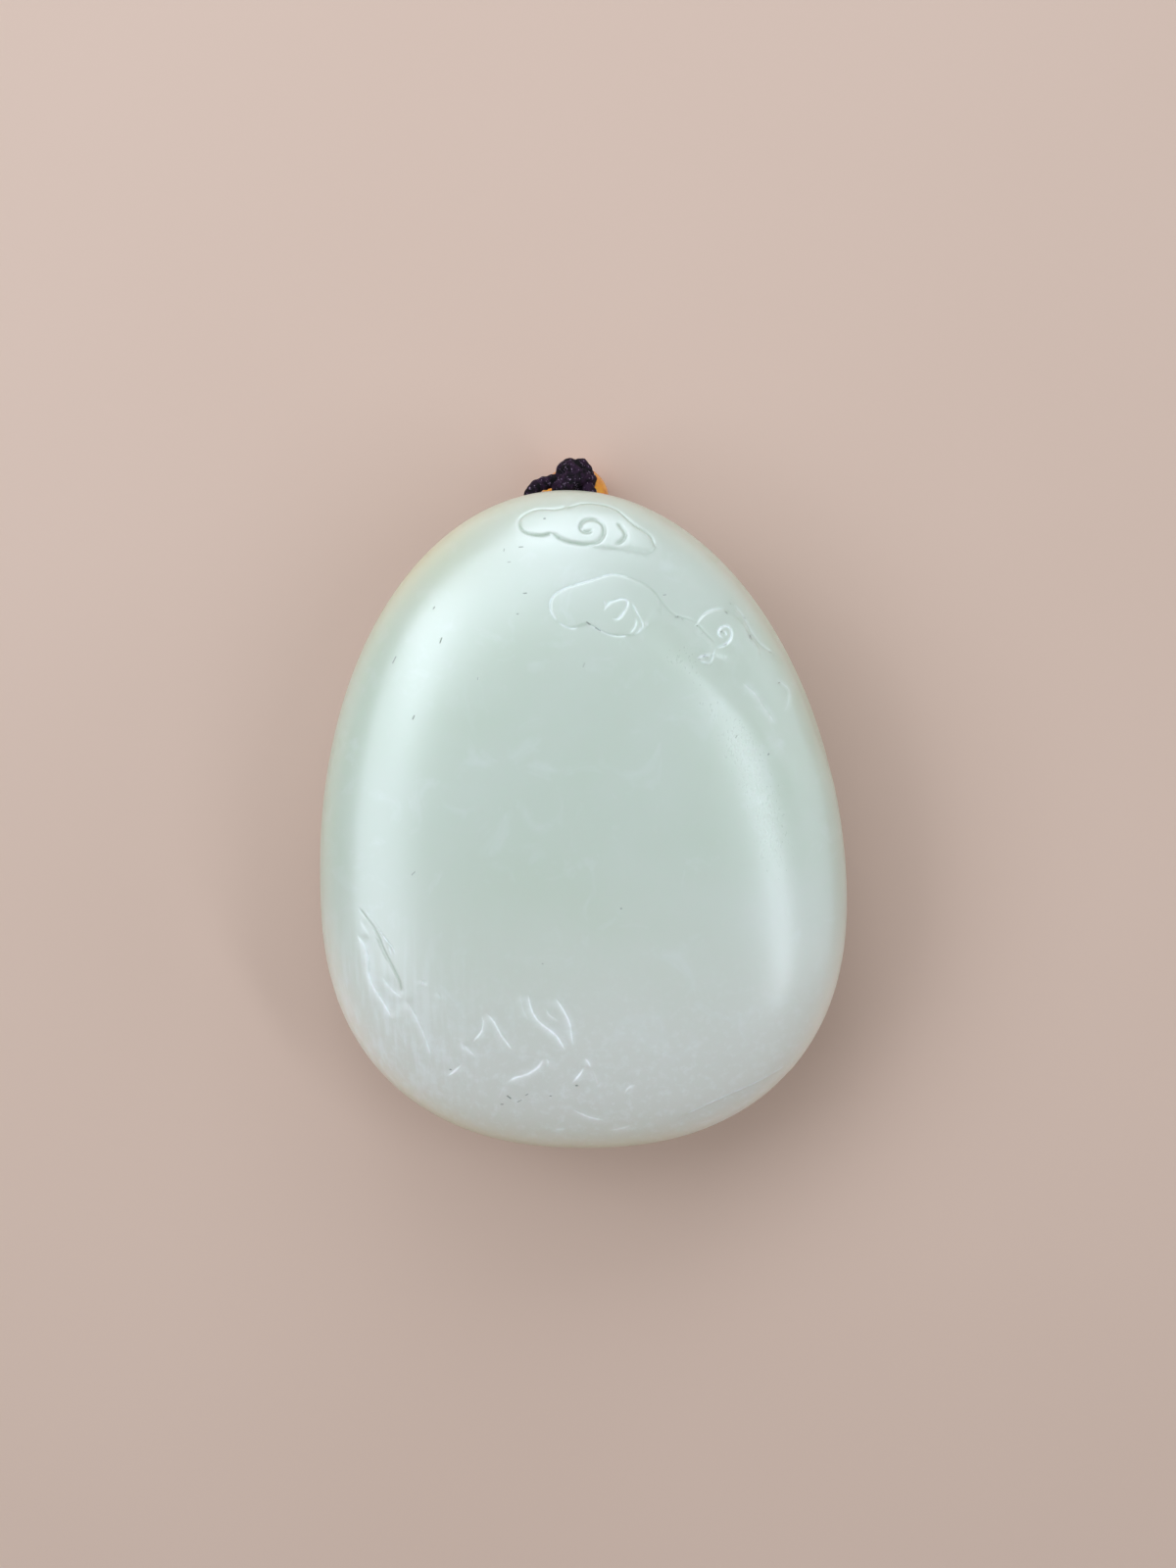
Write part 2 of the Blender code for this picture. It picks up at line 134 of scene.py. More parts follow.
# Way of the cord.  Its places at the knot are measured from the knot's middle, and those in the
# bead from the bead's.
NODE_GAP = 0.35                 # between the knot's ball and where the cord leaves it
KNOT_START = (-0.4, 0.0, 0.0)
KNOT_PASS = (0.3, 0.2, 0.2)
KNOT_END = (0.0, 0.2, -0.6)
BAIL_LEFT_END = (-2.1, -0.74, 0.5)
BAIL_BOW = (-3.1, -1.0, 1.2)
BAIL_ENTRY = (0.45, 1.1, -0.15)
BAIL_RIGHT_END = (1.9, -2.2, 1.7)
LOOP_ROUTE = [
    (-3.2, 24.2), (-6.0, 21.8), (-10.8, 17.6), (-15.0, 11.8), (-17.6, 4.6),
    (-18.0, -3.2), (-16.4, -10.8), (-12.6, -17.4), (-7.0, -21.6), (-0.4, -22.9),
    (6.4, -21.6), (12.0, -17.6), (16.0, -11.0), (17.6, -3.2), (17.0, 4.6),
    (14.2, 11.8), (9.4, 17.8), (4.2, 21.8), (1.2, 24.2),
]
BEAD_ROUTE = [
    (2.25, 2.9), (1.75, 1.9), (0.9, 0.95), (0.0, -0.05), (-0.9, -1.1), (-1.9, -2.05),
    (-3.1, -2.6), (-4.7, -2.7),
]

# Closed outlines of the clouds, which stand a little proud
UPPER_CLOUD = [
    (-1.8, 30.55), (-2.9, 30.4), (-4.2, 30.4), (-5.5, 30.0), (-6.2, 29.2), (-5.9, 28.5),
    (-5.2, 28.15), (-3.9, 28.0), (-3.0, 28.2), (-2.4, 27.8), (-1.5, 27.4), (0.5, 27.0),
    (2.6, 26.8), (4.6, 26.6), (6.5, 26.8), (6.4, 27.6), (5.9, 28.2), (5.2, 28.6),
    (4.2, 29.3), (3.2, 30.2), (1.9, 30.75), (0.5, 30.95), (-1.0, 30.75),
]
UPPER_LOBE = slice(1, 8)        # the stretches of that outline which are cut as lines
UPPER_BACK = slice(None, 13, -1)
CLOUD_BODIES = {
    "upper": UPPER_CLOUD,
    "middle": [(-3.2, 21.0), (-3.2, 22.0), (-2.3, 22.9), (-1.0, 23.4), (0.7, 23.9), (1.6, 24.2),
               (3.0, 24.35), (4.2, 24.0), (5.5, 23.5), (6.7, 22.6), (6.9, 21.2), (5.8, 19.9),
               (5.1, 19.0), (3.8, 18.75), (2.7, 18.75), (1.6, 19.0), (0.4, 19.8), (-0.5, 19.65),
               (-1.3, 19.4), (-2.2, 19.75)],
    "side": [(10.4, 19.3), (10.8, 20.2), (11.6, 20.8), (12.6, 21.1), (13.9, 20.7), (14.8, 20.0),
             (15.8, 18.6), (16.6, 16.8), (15.6, 15.8), (13.6, 16.6), (12.0, 17.1), (11.6, 18.2)],
}
BODY_RISE = {"upper": 0.08, "middle": 0.06, "side": 0.045}
BODY_EDGE = 0.45                # width of the slope round a body
BODY_SINK = 0.6                 # the ground beside a body is sunk by this share of its rise
BODY_SINK_WIDTH = 0.9
BODY_REACH = 2.5

# The edge of the ledge at the lower right
LEDGE = [(9.7, -27.6), (11.3, -26.8), (13.9, -25.6), (16.6, -24.5), (18.3, -23.7)]

# Fine lines: depth, width, tone, then the points.  A depth over 0 is a cut, and one under 0 a
# raised line.  A tone over 0 whitens the line with a painted glint, where its edge would catch
# the light, and roughens it like frosting; one under 0 darkens it with painted shade in the
# groove.
CUTS = {
    "upper_back": (0.10, 0.26, -0.5, [(-1.9, 30.3), *UPPER_CLOUD[UPPER_BACK]]),
    "upper_lobe": (0.10, 0.26, -0.5, [(-1.6, 30.65), *UPPER_CLOUD[UPPER_LOBE], (-3.0, 28.25)]),
    "upper_scroll": (0.13, 0.32, -0.7, [(-3.1, 28.2), (-2.4, 27.8), (-1.5, 27.4), (-0.5, 27.2),
                                        (0.5, 27.15), (1.4, 27.5), (1.8, 28.3), (1.6, 29.0),
                                        (0.9, 29.4), (0.1, 29.35), (-0.4, 28.95), (-0.4, 28.5),
                                        (0.1, 28.25), (0.55, 28.35), (0.65, 28.7)]),
    "upper_crescent": (0.13, 0.32, -0.7, [(2.9, 29.2), (3.5, 28.6), (3.8, 28.0), (3.4, 27.4),
                                          (2.7, 27.0)]),
    "middle_back": (0.07, 0.16, 0.8, [(-2.6, 20.1), (-3.2, 21.0), (-3.2, 22.0), (-2.3, 22.9),
                                      (-1.0, 23.4), (0.7, 23.9), (1.6, 24.2), (3.0, 24.35),
                                      (4.2, 24.1)]),
    "middle_back_low": (0.04, 0.20, -0.2, [(3.8, 24.2), (5.3, 23.6), (6.7, 22.6), (7.6, 21.4),
                                           (8.6, 20.6), (9.7, 20.3), (10.6, 19.9)]),
    "middle_lobe": (0.06, 0.16, 0.7, [(-2.7, 20.1), (-1.9, 19.6), (-1.3, 19.4), (-0.5, 19.55)]),
    "middle_edge": (0.08, 0.18, 0.5, [(0.2, 19.8), (0.7, 19.6), (1.6, 19.1), (2.3, 18.8),
                                      (3.0, 18.7), (3.6, 18.7), (4.1, 18.9)]),
    "middle_core": (0.09, 0.18, 0.8, [(1.9, 21.2), (2.2, 21.7), (2.9, 22.0), (3.5, 22.1),
                                      (3.9, 21.9), (3.8, 21.2), (3.5, 20.7), (3.1, 20.3),
                                      (2.4, 20.3)]),
    "middle_mark": (0.05, 0.16, 0.5, [(1.6, 22.1), (1.9, 21.6), (1.7, 20.9)]),
    "middle_arc": (0.07, 0.16, 0.6, [(4.2, 22.0), (4.8, 20.9), (5.1, 20.3), (5.4, 19.6),
                                     (5.1, 19.1), (4.6, 18.7)]),
    "middle_fold": (0.06, 0.15, 0.45, [(4.7, 20.5), (4.7, 19.7), (4.4, 19.2), (4.0, 18.8)]),
    "side_arc": (0.07, 0.17, 0.6, [(10.5, 19.8), (10.7, 20.1), (11.1, 20.6), (11.7, 21.0),
                                   (12.6, 21.2), (13.4, 21.1)]),
    "side_crease": (0.04, 0.22, -0.3, [(10.6, 19.9), (11.4, 18.9), (12.4, 18.0)]),
    "side_scroll": (0.11, 0.20, 0.95, [(12.2, 17.5), (12.9, 17.7), (13.6, 18.1), (13.9, 18.7),
                                       (13.8, 19.3), (13.3, 19.6), (12.8, 19.4), (12.6, 19.0),
                                       (12.8, 18.6), (13.2, 18.4)]),
    "side_core": (0.06, 0.16, 1.0, [(13.1, 19.1), (13.4, 18.9), (13.25, 18.6)]),
    "side_stem": (0.06, 0.16, 0.6, [(12.3, 17.6), (12.15, 17.0), (11.7, 16.2), (11.0, 16.25),
                                    (10.4, 16.4)]),
    "side_wedge": (0.10, 0.22, 0.9, [(10.4, 16.45), (10.9, 16.75), (11.4, 16.85), (12.1, 17.0)]),
    "side_rim": (0.05, 0.22, 0.3, [(14.2, 21.6), (15.2, 20.4), (16.1, 18.8), (17.0, 17.7),
                                   (18.2, 16.9)]),
    "ridge_groove": (0.06, 0.20, -0.6, [(-21.6, -7.2), (-20.7, -8.3), (-19.8, -9.5),
                                        (-19.2, -11.0), (-18.4, -12.6), (-17.6, -14.4),
                                        (-17.4, -15.5)]),
    "ridge_groove_low": (0.05, 0.16, -0.5, [(-20.0, -9.8), (-19.3, -11.2), (-18.6, -12.6)]),
    "ridge_lip": (0.04, 0.14, 0.9, [(-19.7, -8.9), (-19.0, -10.1), (-18.4, -10.8),
                                    (-18.0, -11.7)]),
    "ridge_lip_low": (0.04, 0.12, 0.6, [(-18.9, -10.4), (-18.6, -11.1), (-18.3, -11.9)]),
    "ledge_line": (-0.035, 0.20, 1.0, [*LEDGE, (19.4, -23.1)]),
}

# Steps of the ground: rise, run of its slope, how far it spreads, how strongly its edge is
# whitened with a painted glint and frosted, then the points.  The ground is higher on the left of
# the way along them.
STEPS = {
    "tall_ridge": (0.10, 0.24, 1.4, 0.55, [(-14.7, -21.8), (-15.1, -20.3), (-15.7, -18.7),
                                           (-16.4, -17.2), (-17.2, -15.9)]),
    "ridge_edge": (0.05, 0.24, 1.0, 0.15, [(-18.0, -11.8), (-18.8, -10.6), (-19.5, -9.4),
                                          (-20.2, -8.3), (-21.0, -7.4)]),
    "outer_ridge": (0.12, 0.20, 1.2, 0.9, [(-18.4, -18.1), (-18.8, -17.3), (-19.5, -16.1),
                                           (-20.2, -15.0), (-20.6, -14.0), (-20.7, -12.9),
                                           (-20.8, -11.8), (-21.2, -10.7), (-21.8, -9.9)]),
    "outer_crag": (0.08, 0.20, 0.8, 0.5, [(-17.4, -15.9), (-18.5, -15.0), (-19.4, -13.8)]),
    "ridge_shoulder": (0.06, 0.40, 0.8, 0.3, [(-20.5, -10.1), (-21.0, -9.2), (-21.5, -8.4)]),
    "near_peak_right": (0.10, 0.20, 1.1, 0.65, [(-6.8, -21.0), (-7.5, -19.9), (-8.0, -19.2),
                                                (-8.3, -18.6), (-8.8, -17.7), (-9.6, -17.0)]),
    "near_peak_left": (0.08, 0.20, 0.9, 0.35, [(-9.8, -17.2), (-9.7, -18.1), (-9.9, -19.0),
                                               (-10.4, -19.6), (-10.7, -20.2)]),
    "low_peak_right": (0.10, 0.34, 0.9, 0.75, [(-10.3, -21.6), (-11.1, -20.8), (-11.8, -20.1)]),
    "low_peak_edge": (0.06, 0.18, 0.6, 0.6, [(-11.5, -20.9), (-11.7, -20.5), (-11.8, -20.0)]),
    "low_peak_left": (0.08, 0.24, 0.9, 0.5, [(-11.7, -22.1), (-12.5, -23.0), (-13.4, -23.7)]),
    "far_peak_left": (0.12, 0.20, 1.2, 1.0, [(-1.8, -20.9), (-2.2, -20.1), (-2.7, -19.3),
                                             (-3.6, -18.5), (-4.5, -17.7), (-5.1, -16.6),
                                             (-5.4, -15.1)]),
    "far_peak_mist": (0.05, 0.40, 1.0, 0.3, [(-5.2, -17.9), (-6.0, -16.3), (-6.1, -14.8)]),
    "far_peak_right": (0.10, 0.20, 1.1, 0.85, [(-1.1, -20.4), (-1.3, -19.1), (-1.4, -18.3),
                                               (-1.7, -17.4), (-2.3, -16.3), (-2.9, -15.4)]),
    "far_peak_fold": (0.07, 0.20, 0.7, 0.5, [(-2.4, -17.9), (-3.0, -17.5), (-3.4, -17.2),
                                             (-3.7, -16.5)]),
    "bank": (0.10, 0.34, 1.3, 0.8, [(-3.9, -21.4), (-4.4, -22.3), (-5.1, -22.9), (-5.9, -23.3),
                                    (-6.6, -23.5), (-7.6, -24.2)]),
    "bank_tip": (0.08, 0.22, 0.7, 0.6, [(-3.7, -22.5), (-3.5, -22.0), (-3.8, -21.4)]),
    "bank_foot": (0.05, 0.30, 0.7, 0.25, [(-7.4, -24.2), (-8.0, -25.0), (-8.3, -26.0)]),
    "small_peak_left": (0.10, 0.18, 0.8, 0.85, [(0.0, -22.2), (-0.5, -23.1), (-1.3, -24.1)]),
    "small_peak_right": (0.09, 0.22, 0.8, 0.8, [(0.6, -22.5), (0.3, -21.9), (-0.1, -21.4)]),
    "small_peak_foot": (0.05, 0.26, 0.7, 0.25, [(1.3, -24.6), (1.0, -23.4), (0.6, -22.5)]),
    "stone_crest": (0.08, 0.20, 0.7, 0.4, [(5.0, -24.2), (4.2, -24.5), (3.7, -25.4)]),
    "shore_crest": (0.07, 0.22, 0.9, 0.55, [(2.0, -28.0), (0.7, -27.8), (-0.4, -27.3),
                                            (-1.4, -26.8)]),
    "shore_left": (0.06, 0.20, 0.7, 0.6, [(-1.7, -29.0), (-2.9, -29.15)]),
    "shore_right": (0.06, 0.20, 0.7, 0.5, [(4.8, -28.5), (4.1, -28.8), (3.1, -29.1),
                                           (2.1, -29.2)]),
    "mist_mark": (0.06, 0.20, 0.6, 0.5, [(-15.3, -14.6), (-15.5, -13.9)]),
    "mist_mark_low": (0.05, 0.24, 0.6, 0.4, [(-13.7, -15.9), (-14.0, -15.1)]),
    "cloud_tail": (0.08, 0.20, 1.2, 0.8, [(18.3, 10.1), (17.5, 11.2), (16.8, 12.3), (15.8, 13.5),
                                          (14.8, 14.3)]),
    "cloud_hook": (0.08, 0.40, 1.0, 0.3, [(17.4, 17.2), (15.9, 18.1), (15.2, 20.2)]),
    "rim_facet": (0.08, 0.50, 0.9, 0.3, [(18.3, 14.7), (19.0, 14.0), (19.6, 13.5), (19.6, 12.8),
                                         (19.4, 12.0), (18.9, 11.3)]),
    "ledge": (0.09, 0.30, 2.4, 0.0, [(8.7, -28.5), *LEDGE, (19.8, -22.9)]),
}
# The ground above and to the right of this line is cut lower, down to the rim
SLOPE_LINE = [(4.6, 20.2), (9.4, 17.2), (13.6, 13.9), (17.4, 10.0), (20.4, 5.4)]
SLOPE_DROP = 0.32
SLOPE_RUN = 1.4
SLOPE_REACH = 40.0
SLOPE_UPPER_LEAD = 1.0          # how far past its ends the lowering sets in
SLOPE_LOWER_LEAD = 2.0
SLOPE_FADE = 6.0

# The surface is pitted along this line
PITTED_LINE = [(9.0, 16.5), (13.2, 10.5), (16.0, 5.0), (17.8, -1.0), (19.6, -9.5)]
PITTED_WIDTH = 2.0

# How lines are drawn
LINE_STEP = 0.25
WIDE_LINE_STEP = 0.6            # of the slope and of the pitted line
LINE_REACH = 3.0                # how far a line is felt, in its own widths
TONE_WIDTH = 0.065              # half width of the painted glint and frosting along a step
GLINT_HALO_WIDTH = 0.42               # half width of the fainter painted glint and frosting beside it
# How strong that fainter painted glint is, as a share of the step's
GLINT_HALO_TONE = 0.34
STEP_TAPER = 1.0                # how far from its ends a line fades
CUT_TAPER = 0.7
SHORT_TAPER = 0.8               # of a short line's half length, in place of those
RIM_FADE = 1.6                  # height over the rim in which the carving fades

# Flaws in the surface: x, y, half length, its direction in degrees, and width
MARKS = [
    (-18.0, 16.3, 0.35, 62, 0.07), (-13.5, 18.2, 0.28, 70, 0.05), (-14.2, 21.2, 0.10, 50, 0.07),
    (-16.1, 11.0, 0.18, 65, 0.08), (-5.6, 22.6, 0.14, 5, 0.08), (-6.3, 20.7, 0.05, 0, 0.08),
    (-6.0, 26.9, 0.18, 4, 0.06), (-7.6, 26.6, 0.12, 80, 0.05), (-7.1, 25.5, 0.12, 10, 0.05),
    (-0.1, 16.0, 0.20, 75, 0.05), (-3.8, 29.5, 0.05, 0, 0.10), (-10.0, 14.7, 0.10, 80, 0.05),
    (0.3, 19.85, 0.20, -32, 0.09), (1.2, 19.3, 0.25, -32, 0.08), (3.4, -6.9, 0.03, 0, 0.10),
    (17.3, 7.5, 0.05, 40, 0.11), (14.2, 9.2, 0.10, 60, 0.05), (7.5, 22.5, 0.12, 10, 0.07),
    (15.8, 18.5, 0.15, 120, 0.07), (-16.2, -3.7, 0.20, 45, 0.05), (-4.0, -12.2, 0.04, 0, 0.06),
    (-12.9, -22.9, 0.05, 0, 0.10), (-0.8, -24.3, 0.06, 0, 0.12), (-7.3, -25.6, 0.20, -40, 0.10),
    (-6.3, -26.0, 0.22, 30, 0.06), (-8.0, -26.4, 0.10, 10, 0.08), (-5.6, -25.3, 0.16, 35, 0.06),
    (-3.3, -25.4, 0.06, 0, 0.08),
]
MARK_THINNING = 0.6             # of the widths above
MARK_DEPTH = 0.03
MARK_REACH = 0.5

# Zones of the stone's colour: the coordinate at which each sets in and the run to its full
# strength, going down or to the left
GREY_DOWN = (3.0, 30.0)
MOTTLED_DOWN = (-8.0, 22.0)
LIFT_DOWN = (-6.0, 14.0)
STREAKED_DOWN = (-4.0, 18.0)
STREAKED_LEFT = (-6.0, 14.0)
WARM_FOOT_DOWN = (-21.0, 9.0)
WARM_FOOT_LEFT = (14.0, 10.0)
WARM_CORNER = (-14.0, 25.0)
WARM_CORNER_REACH = (9.0, 8.0)
# How far they reach from the rim, over the face and down the side: the first is the painted
# warm glow along the rim, the second the russet skin
RIM_GLOW_REACH = (0.7, 4.0)
WARM_ZONE_REACH = (1.6, 5.0)
LIFT_REACH = 2.5
# Painted light: the strength of the warm glow along the whole rim, for light refracted through the
# thin edge
RIM_GLOW = 0.30
CORNER_WARMTH = 0.62
FOOT_WARMTH = 0.85

# Colours, linear
JADE_GREEN = (0.535, 0.605, 0.505)
JADE_PALE = (0.57, 0.625, 0.55)
JADE_GREY = (0.645, 0.645, 0.59)
JADE_EDGE = (0.84, 0.81, 0.72)
JADE_WISP = (0.70, 0.74, 0.72)
# Russet skin at the upper left and at the foot, and the painted warm glow along the rim
JADE_SKIN_AND_RIM_GLOW = (0.66, 0.61, 0.41)
# Painted shade in the carved grooves
JADE_GROOVE_SHADE = (0.36, 0.44, 0.34)
# Whitish clouding of the stone, and the painted glints along the carved edges
JADE_WHITE_AND_GLINT = (0.92, 0.96, 0.98)
JADE_FLAW = (0.14, 0.15, 0.13)
THREAD_BLACK = (0.003, 0.002, 0.003)
THREAD_PURPLE = (0.022, 0.008, 0.022)
THREAD_FIBRE = (0.27, 0.19, 0.28)
THREAD_SHEEN = (0.80, 0.62, 0.85)
AMBER_DARK = (0.62, 0.20, 0.01)
AMBER_LIGHT = (0.85, 0.38, 0.03)
FLOOR_COLOURS = ((0.58, 0.42, 0.33), (0.62, 0.455, 0.365))

# Noise in the materials, in turns of its pattern for each metre
CLOUDING_SCALE = 45.0
SWELL_SCALE = 420.0
WISP_SCALE = 210.0
MOTTLING_SCALE = 1300.0
STREAK_SCALE = 1500.0
# Noise that makes the painted glints and frosting along the carved edges uneven
FROST_AND_GLINT_SCALE = 1500.0
PIT_SCALE = 4600.0
PATCH_SCALE = 1300.0
FIBRE_SCALE = 3600.0
SWIRL_SCALE = 260.0
FLOOR_SCALE = 14.0

# How strongly each layer covers the jade's body colour
WISP_SHARE = 0.30
HAZE_SHARE = 0.24
SPOT_SHARE = 0.24
# Painted shade in the carved grooves
SHADE_SHARE = 0.5
FLAW_SHARE = 0.75
# Painted glints and frosting along the carved edges, at their weakest and strongest
FROST_AND_GLINT_SHARES = (0.40, 0.85)

# Finish of the surfaces
JADE_ROUGHNESS = (0.275, 0.305)
PIT_ROUGHNESS = 0.025
FROST_ROUGHNESS = 0.25
JADE_BUMP = 0.065
THREAD_BUMP = 0.8
AMBER_ROUGHNESS = (0.08, 0.14)
BUMP_HEIGHT = 0.1

# Studio: a softbox is its place, its size, its power in watts and its turn about its own axis
SOFTBOXES = {
    "left_softbox": ((-310.0, 30.0, 340.0), (250.0, 430.0), 0.80, 0.0),
    "right_softbox": ((216.0, -31.0, 328.0), (42.0, 310.0), 0.25, 24.5),
    "upper_softbox": ((-160.0, 240.0, 380.0), (420.0, 310.0), 0.96, 30.0),
    "top_softbox": ((40.0, 405.0, 255.0), (360.0, 250.0), 0.78, 0.0),
    "right_fill": ((400.0, 20.0, 150.0), (300.0, 400.0), 0.34, 0.0),
}
COOL_LIGHT = (0.83, 0.92, 1.04)
SKY_COLOUR = (0.86, 0.86, 0.84)
SKY_STRENGTH = 0.315
LIT_PLACE = (0.0, 0.0, 15.0)    # where the softboxes point
FLOOR_SIZE = 4000.0
CAMERA_SENSOR = 36.0
CAMERA_LENS = 52.0
CAMERA_CLIP = 10.0
CAMERA_TILT = 8.0
CAMERA_DISTANCE = 221.2
CAMERA_CENTRE = Vector((0.0, 0.3, 13.0))
CAMERA_AIM = Vector((0.29, 3.8, 13.0))


def spline_points(route, step):
    """Evenly spaced points on the natural cubic spline through the route's points."""
    stations = np.array(route, dtype=float)
    spans = np.linalg.norm(np.diff(stations, axis=0), axis=1)
    count = len(stations)
    system = np.eye(count)
    pull = np.zeros_like(stations)
    for i in range(1, count - 1):
        before, after = spans[i - 1], spans[i]
        system[i, i - 1:i + 2] = (before, 2.0 * (before + after), after)
        pull[i] = 6.0 * ((stations[i + 1] - stations[i]) / after
                         - (stations[i] - stations[i - 1]) / before)
    bend = np.linalg.solve(system, pull)
    fine = []
    for i in range(count - 1):
        span = spans[i]
        for share in np.linspace(0.0, 1.0, SPAN_STEPS, endpoint=i == count - 2):
            left = 1.0 - share
            point = left * stations[i] + share * stations[i + 1]
            point += span ** 2 / 6.0 * ((left ** 3 - left) * bend[i]
                                        + (share ** 3 - share) * bend[i + 1])
            fine.append(point)
    fine = np.array(fine)
    run = np.concatenate([[0.0], np.cumsum(np.linalg.norm(np.diff(fine, axis=0), axis=1))])
    wanted = np.linspace(0.0, run[-1], max(2, round(run[-1] / step)) + 1)
    return np.stack([np.interp(wanted, run, column) for column in fine.T], axis=1)


def ease(value):
    value = np.clip(value, 0.0, 1.0)
    return value * value * (3.0 - 2.0 * value)


def power(value, exponent):
    return np.copysign(np.abs(value) ** exponent, value)


def lean_at(rise):
    """How far the pebble's middle is to the right, at a height above its widest line."""
    share = rise / UPPER_LENGTH
    return -LEAN * (np.hypot(share, LEAN_EASE) + share) / 2.0


def egg_points(ways):
    """The uncarved pebble's points in unit directions."""
    flat = np.hypot(ways[:, 0], ways[:, 1])
    round_way = ways[:, :2] / np.maximum(flat, 1e-9)[:, None]
    in_front = ways[:, 2] >= 0.0
    dome = np.where(in_front, FACE_EXPONENT, BACK_EXPONENT)
    rise = np.where(in_front, FACE_RISE, BACK_RISE)
    upper = round_way[:, 1] >= 0.0
    end = np.where(upper, UPPER_EXPONENT, LOWER_EXPONENT)
    length = np.where(upper, UPPER_LENGTH, LOWER_LENGTH)
    reach = flat ** (2.0 / dome)
    y = reach * length * power(round_way[:, 1], 2.0 / end)
    x = reach * HALF_WIDTH * power(round_way[:, 0], 2.0 / end) + lean_at(y)
    z = RIM_HEIGHT + rise * power(ways[:, 2], 2.0 / dome)
    y += np.where(in_front, 0.0, BACK_SHIFT * (1.0 - reach))
    return np.stack([x, WIDEST_Y + y, np.maximum(z, 0.0)], axis=1)


def near_line(plan, line, reach):
    """The points within reach of a line: which, how far, on which side, and how far along it.

    The last is the distance from the line's nearer end.
    """
    low, high = line.min(axis=0) - reach, line.max(axis=0) + reach
    near = np.flatnonzero(((plan > low) & (plan < high)).all(axis=1))
    run = np.diff(line, axis=0)
    off = plan[near, None, :] - line[None, :-1]
    share = np.clip((off * run).sum(axis=2) / (run ** 2).sum(axis=1), 0.0, 1.0)
    gap = off - share[..., None] * run
    far = np.hypot(gap[..., 0], gap[..., 1])
    best = far.argmin(axis=1)
    rows = np.arange(len(near))
    turn = run[best, 0] * gap[rows, best, 1] - run[best, 1] * gap[rows, best, 0]
    along = best + share[rows, best]
    from_end = np.minimum(along, len(run) - along) * np.linalg.norm(run[0])
    return near, far[rows, best], np.sign(turn), from_end


def inside(plan, outline):
    """Which points lie inside a closed outline."""
    found = np.zeros(len(plan), dtype=bool)
    for start, end in zip(outline, np.roll(outline, -1, axis=0)):
        crosses = (start[1] > plan[:, 1]) != (end[1] > plan[:, 1])
        rise = end[1] - start[1] if end[1] != start[1] else 1.0
        at = start[0] + (plan[:, 1] - start[1]) * (end[0] - start[0]) / rise
        found ^= crosses & (plan[:, 0] < at)
    return found


def closed(points, step):
    """Points on a closed outline, whose first stretch is gone over twice to close it smoothly."""
    return spline_points(points + points[:2], step)


CUT_ROUTES = {name: spline_points(cut[-1], LINE_STEP) for name, cut in CUTS.items()}
STEP_ROUTES = {name: spline_points(step[-1], LINE_STEP) for name, step in STEPS.items()}
SLOPE_ROUTE = spline_points(SLOPE_LINE, WIDE_LINE_STEP)
PITTED_ROUTE = spline_points(PITTED_LINE, WIDE_LINE_STEP)


def mark_route(x, y, half, turn):
    """The two ends of a flaw."""
    way = np.array([math.cos(math.radians(turn)), math.sin(math.radians(turn))])
    return np.array([x, y]) + half * np.array([[-1.0], [1.0]]) * way


def edge_wanted(points):
    """The facet size wanted at the pebble's points."""
    wanted = np.full(len(points), COARSE_EDGE)
    face = np.flatnonzero(points[:, 2] > RIM_HEIGHT)
    plan = points[face, :2]
    reach = (COARSE_EDGE - FINE_EDGE) / EDGE_GROWTH
    for route in [*CUT_ROUTES.values(), *STEP_ROUTES.values()]:
        near, far, _, _ = near_line(plan, route, reach)
        size = FINE_EDGE + EDGE_GROWTH * np.maximum(far - FINE_MARGIN, 0.0)
        wanted[face[near]] = np.minimum(wanted[face[near]], size)
    for x, y, half, turn, _ in MARKS:
        near, far, _, _ = near_line(plan, mark_route(x, y, half, turn), reach)
        size = MARK_EDGE + EDGE_GROWTH * np.maximum(far - MARK_MARGIN, 0.0)
        wanted[face[near]] = np.minimum(wanted[face[near]], size)
    for mouth in (HOLE_LEFT, HOLE_RIGHT):
        far = np.linalg.norm(points - np.array(mouth), axis=1)
        size = MOUTH_EDGE + EDGE_GROWTH * np.maximum(far - MOUTH_MARGIN, 0.0)
        wanted = np.minimum(wanted, size)
    return wanted


def tapered(from_end, taper):
    """How strong a line is, which fades towards its ends, and a short one sooner."""
    return ease(from_end / min(taper, SHORT_TAPER * from_end.max() + 0.01))


def add_tone(tones, where, tone, strength):
    """Add a line's painted glint and frosting, or its painted shade, at some of the pebble's
    points.
    """
    layer = tones["frost_and_glint" if tone > 0.0 else "shade"]
    layer[where] = np.maximum(layer[where], abs(tone) * strength)


def slope_cut(plan):
    """Height of the ground above and to the right of the slope line."""
    near, far, side, _ = near_line(plan, SLOPE_ROUTE, SLOPE_REACH)
    low_end = ease((plan[near, 1] - SLOPE_LINE[-1][1] + SLOPE_LOWER_LEAD) / SLOPE_FADE)
    high_end = ease((plan[near, 0] - SLOPE_LINE[0][0] + SLOPE_UPPER_LEAD) / SLOPE_FADE)
    cut = np.zeros(len(plan))
    cut[near] = -SLOPE_DROP * ease(0.5 + side * far / SLOPE_RUN / 2.0) * low_end * high_end
    return cut


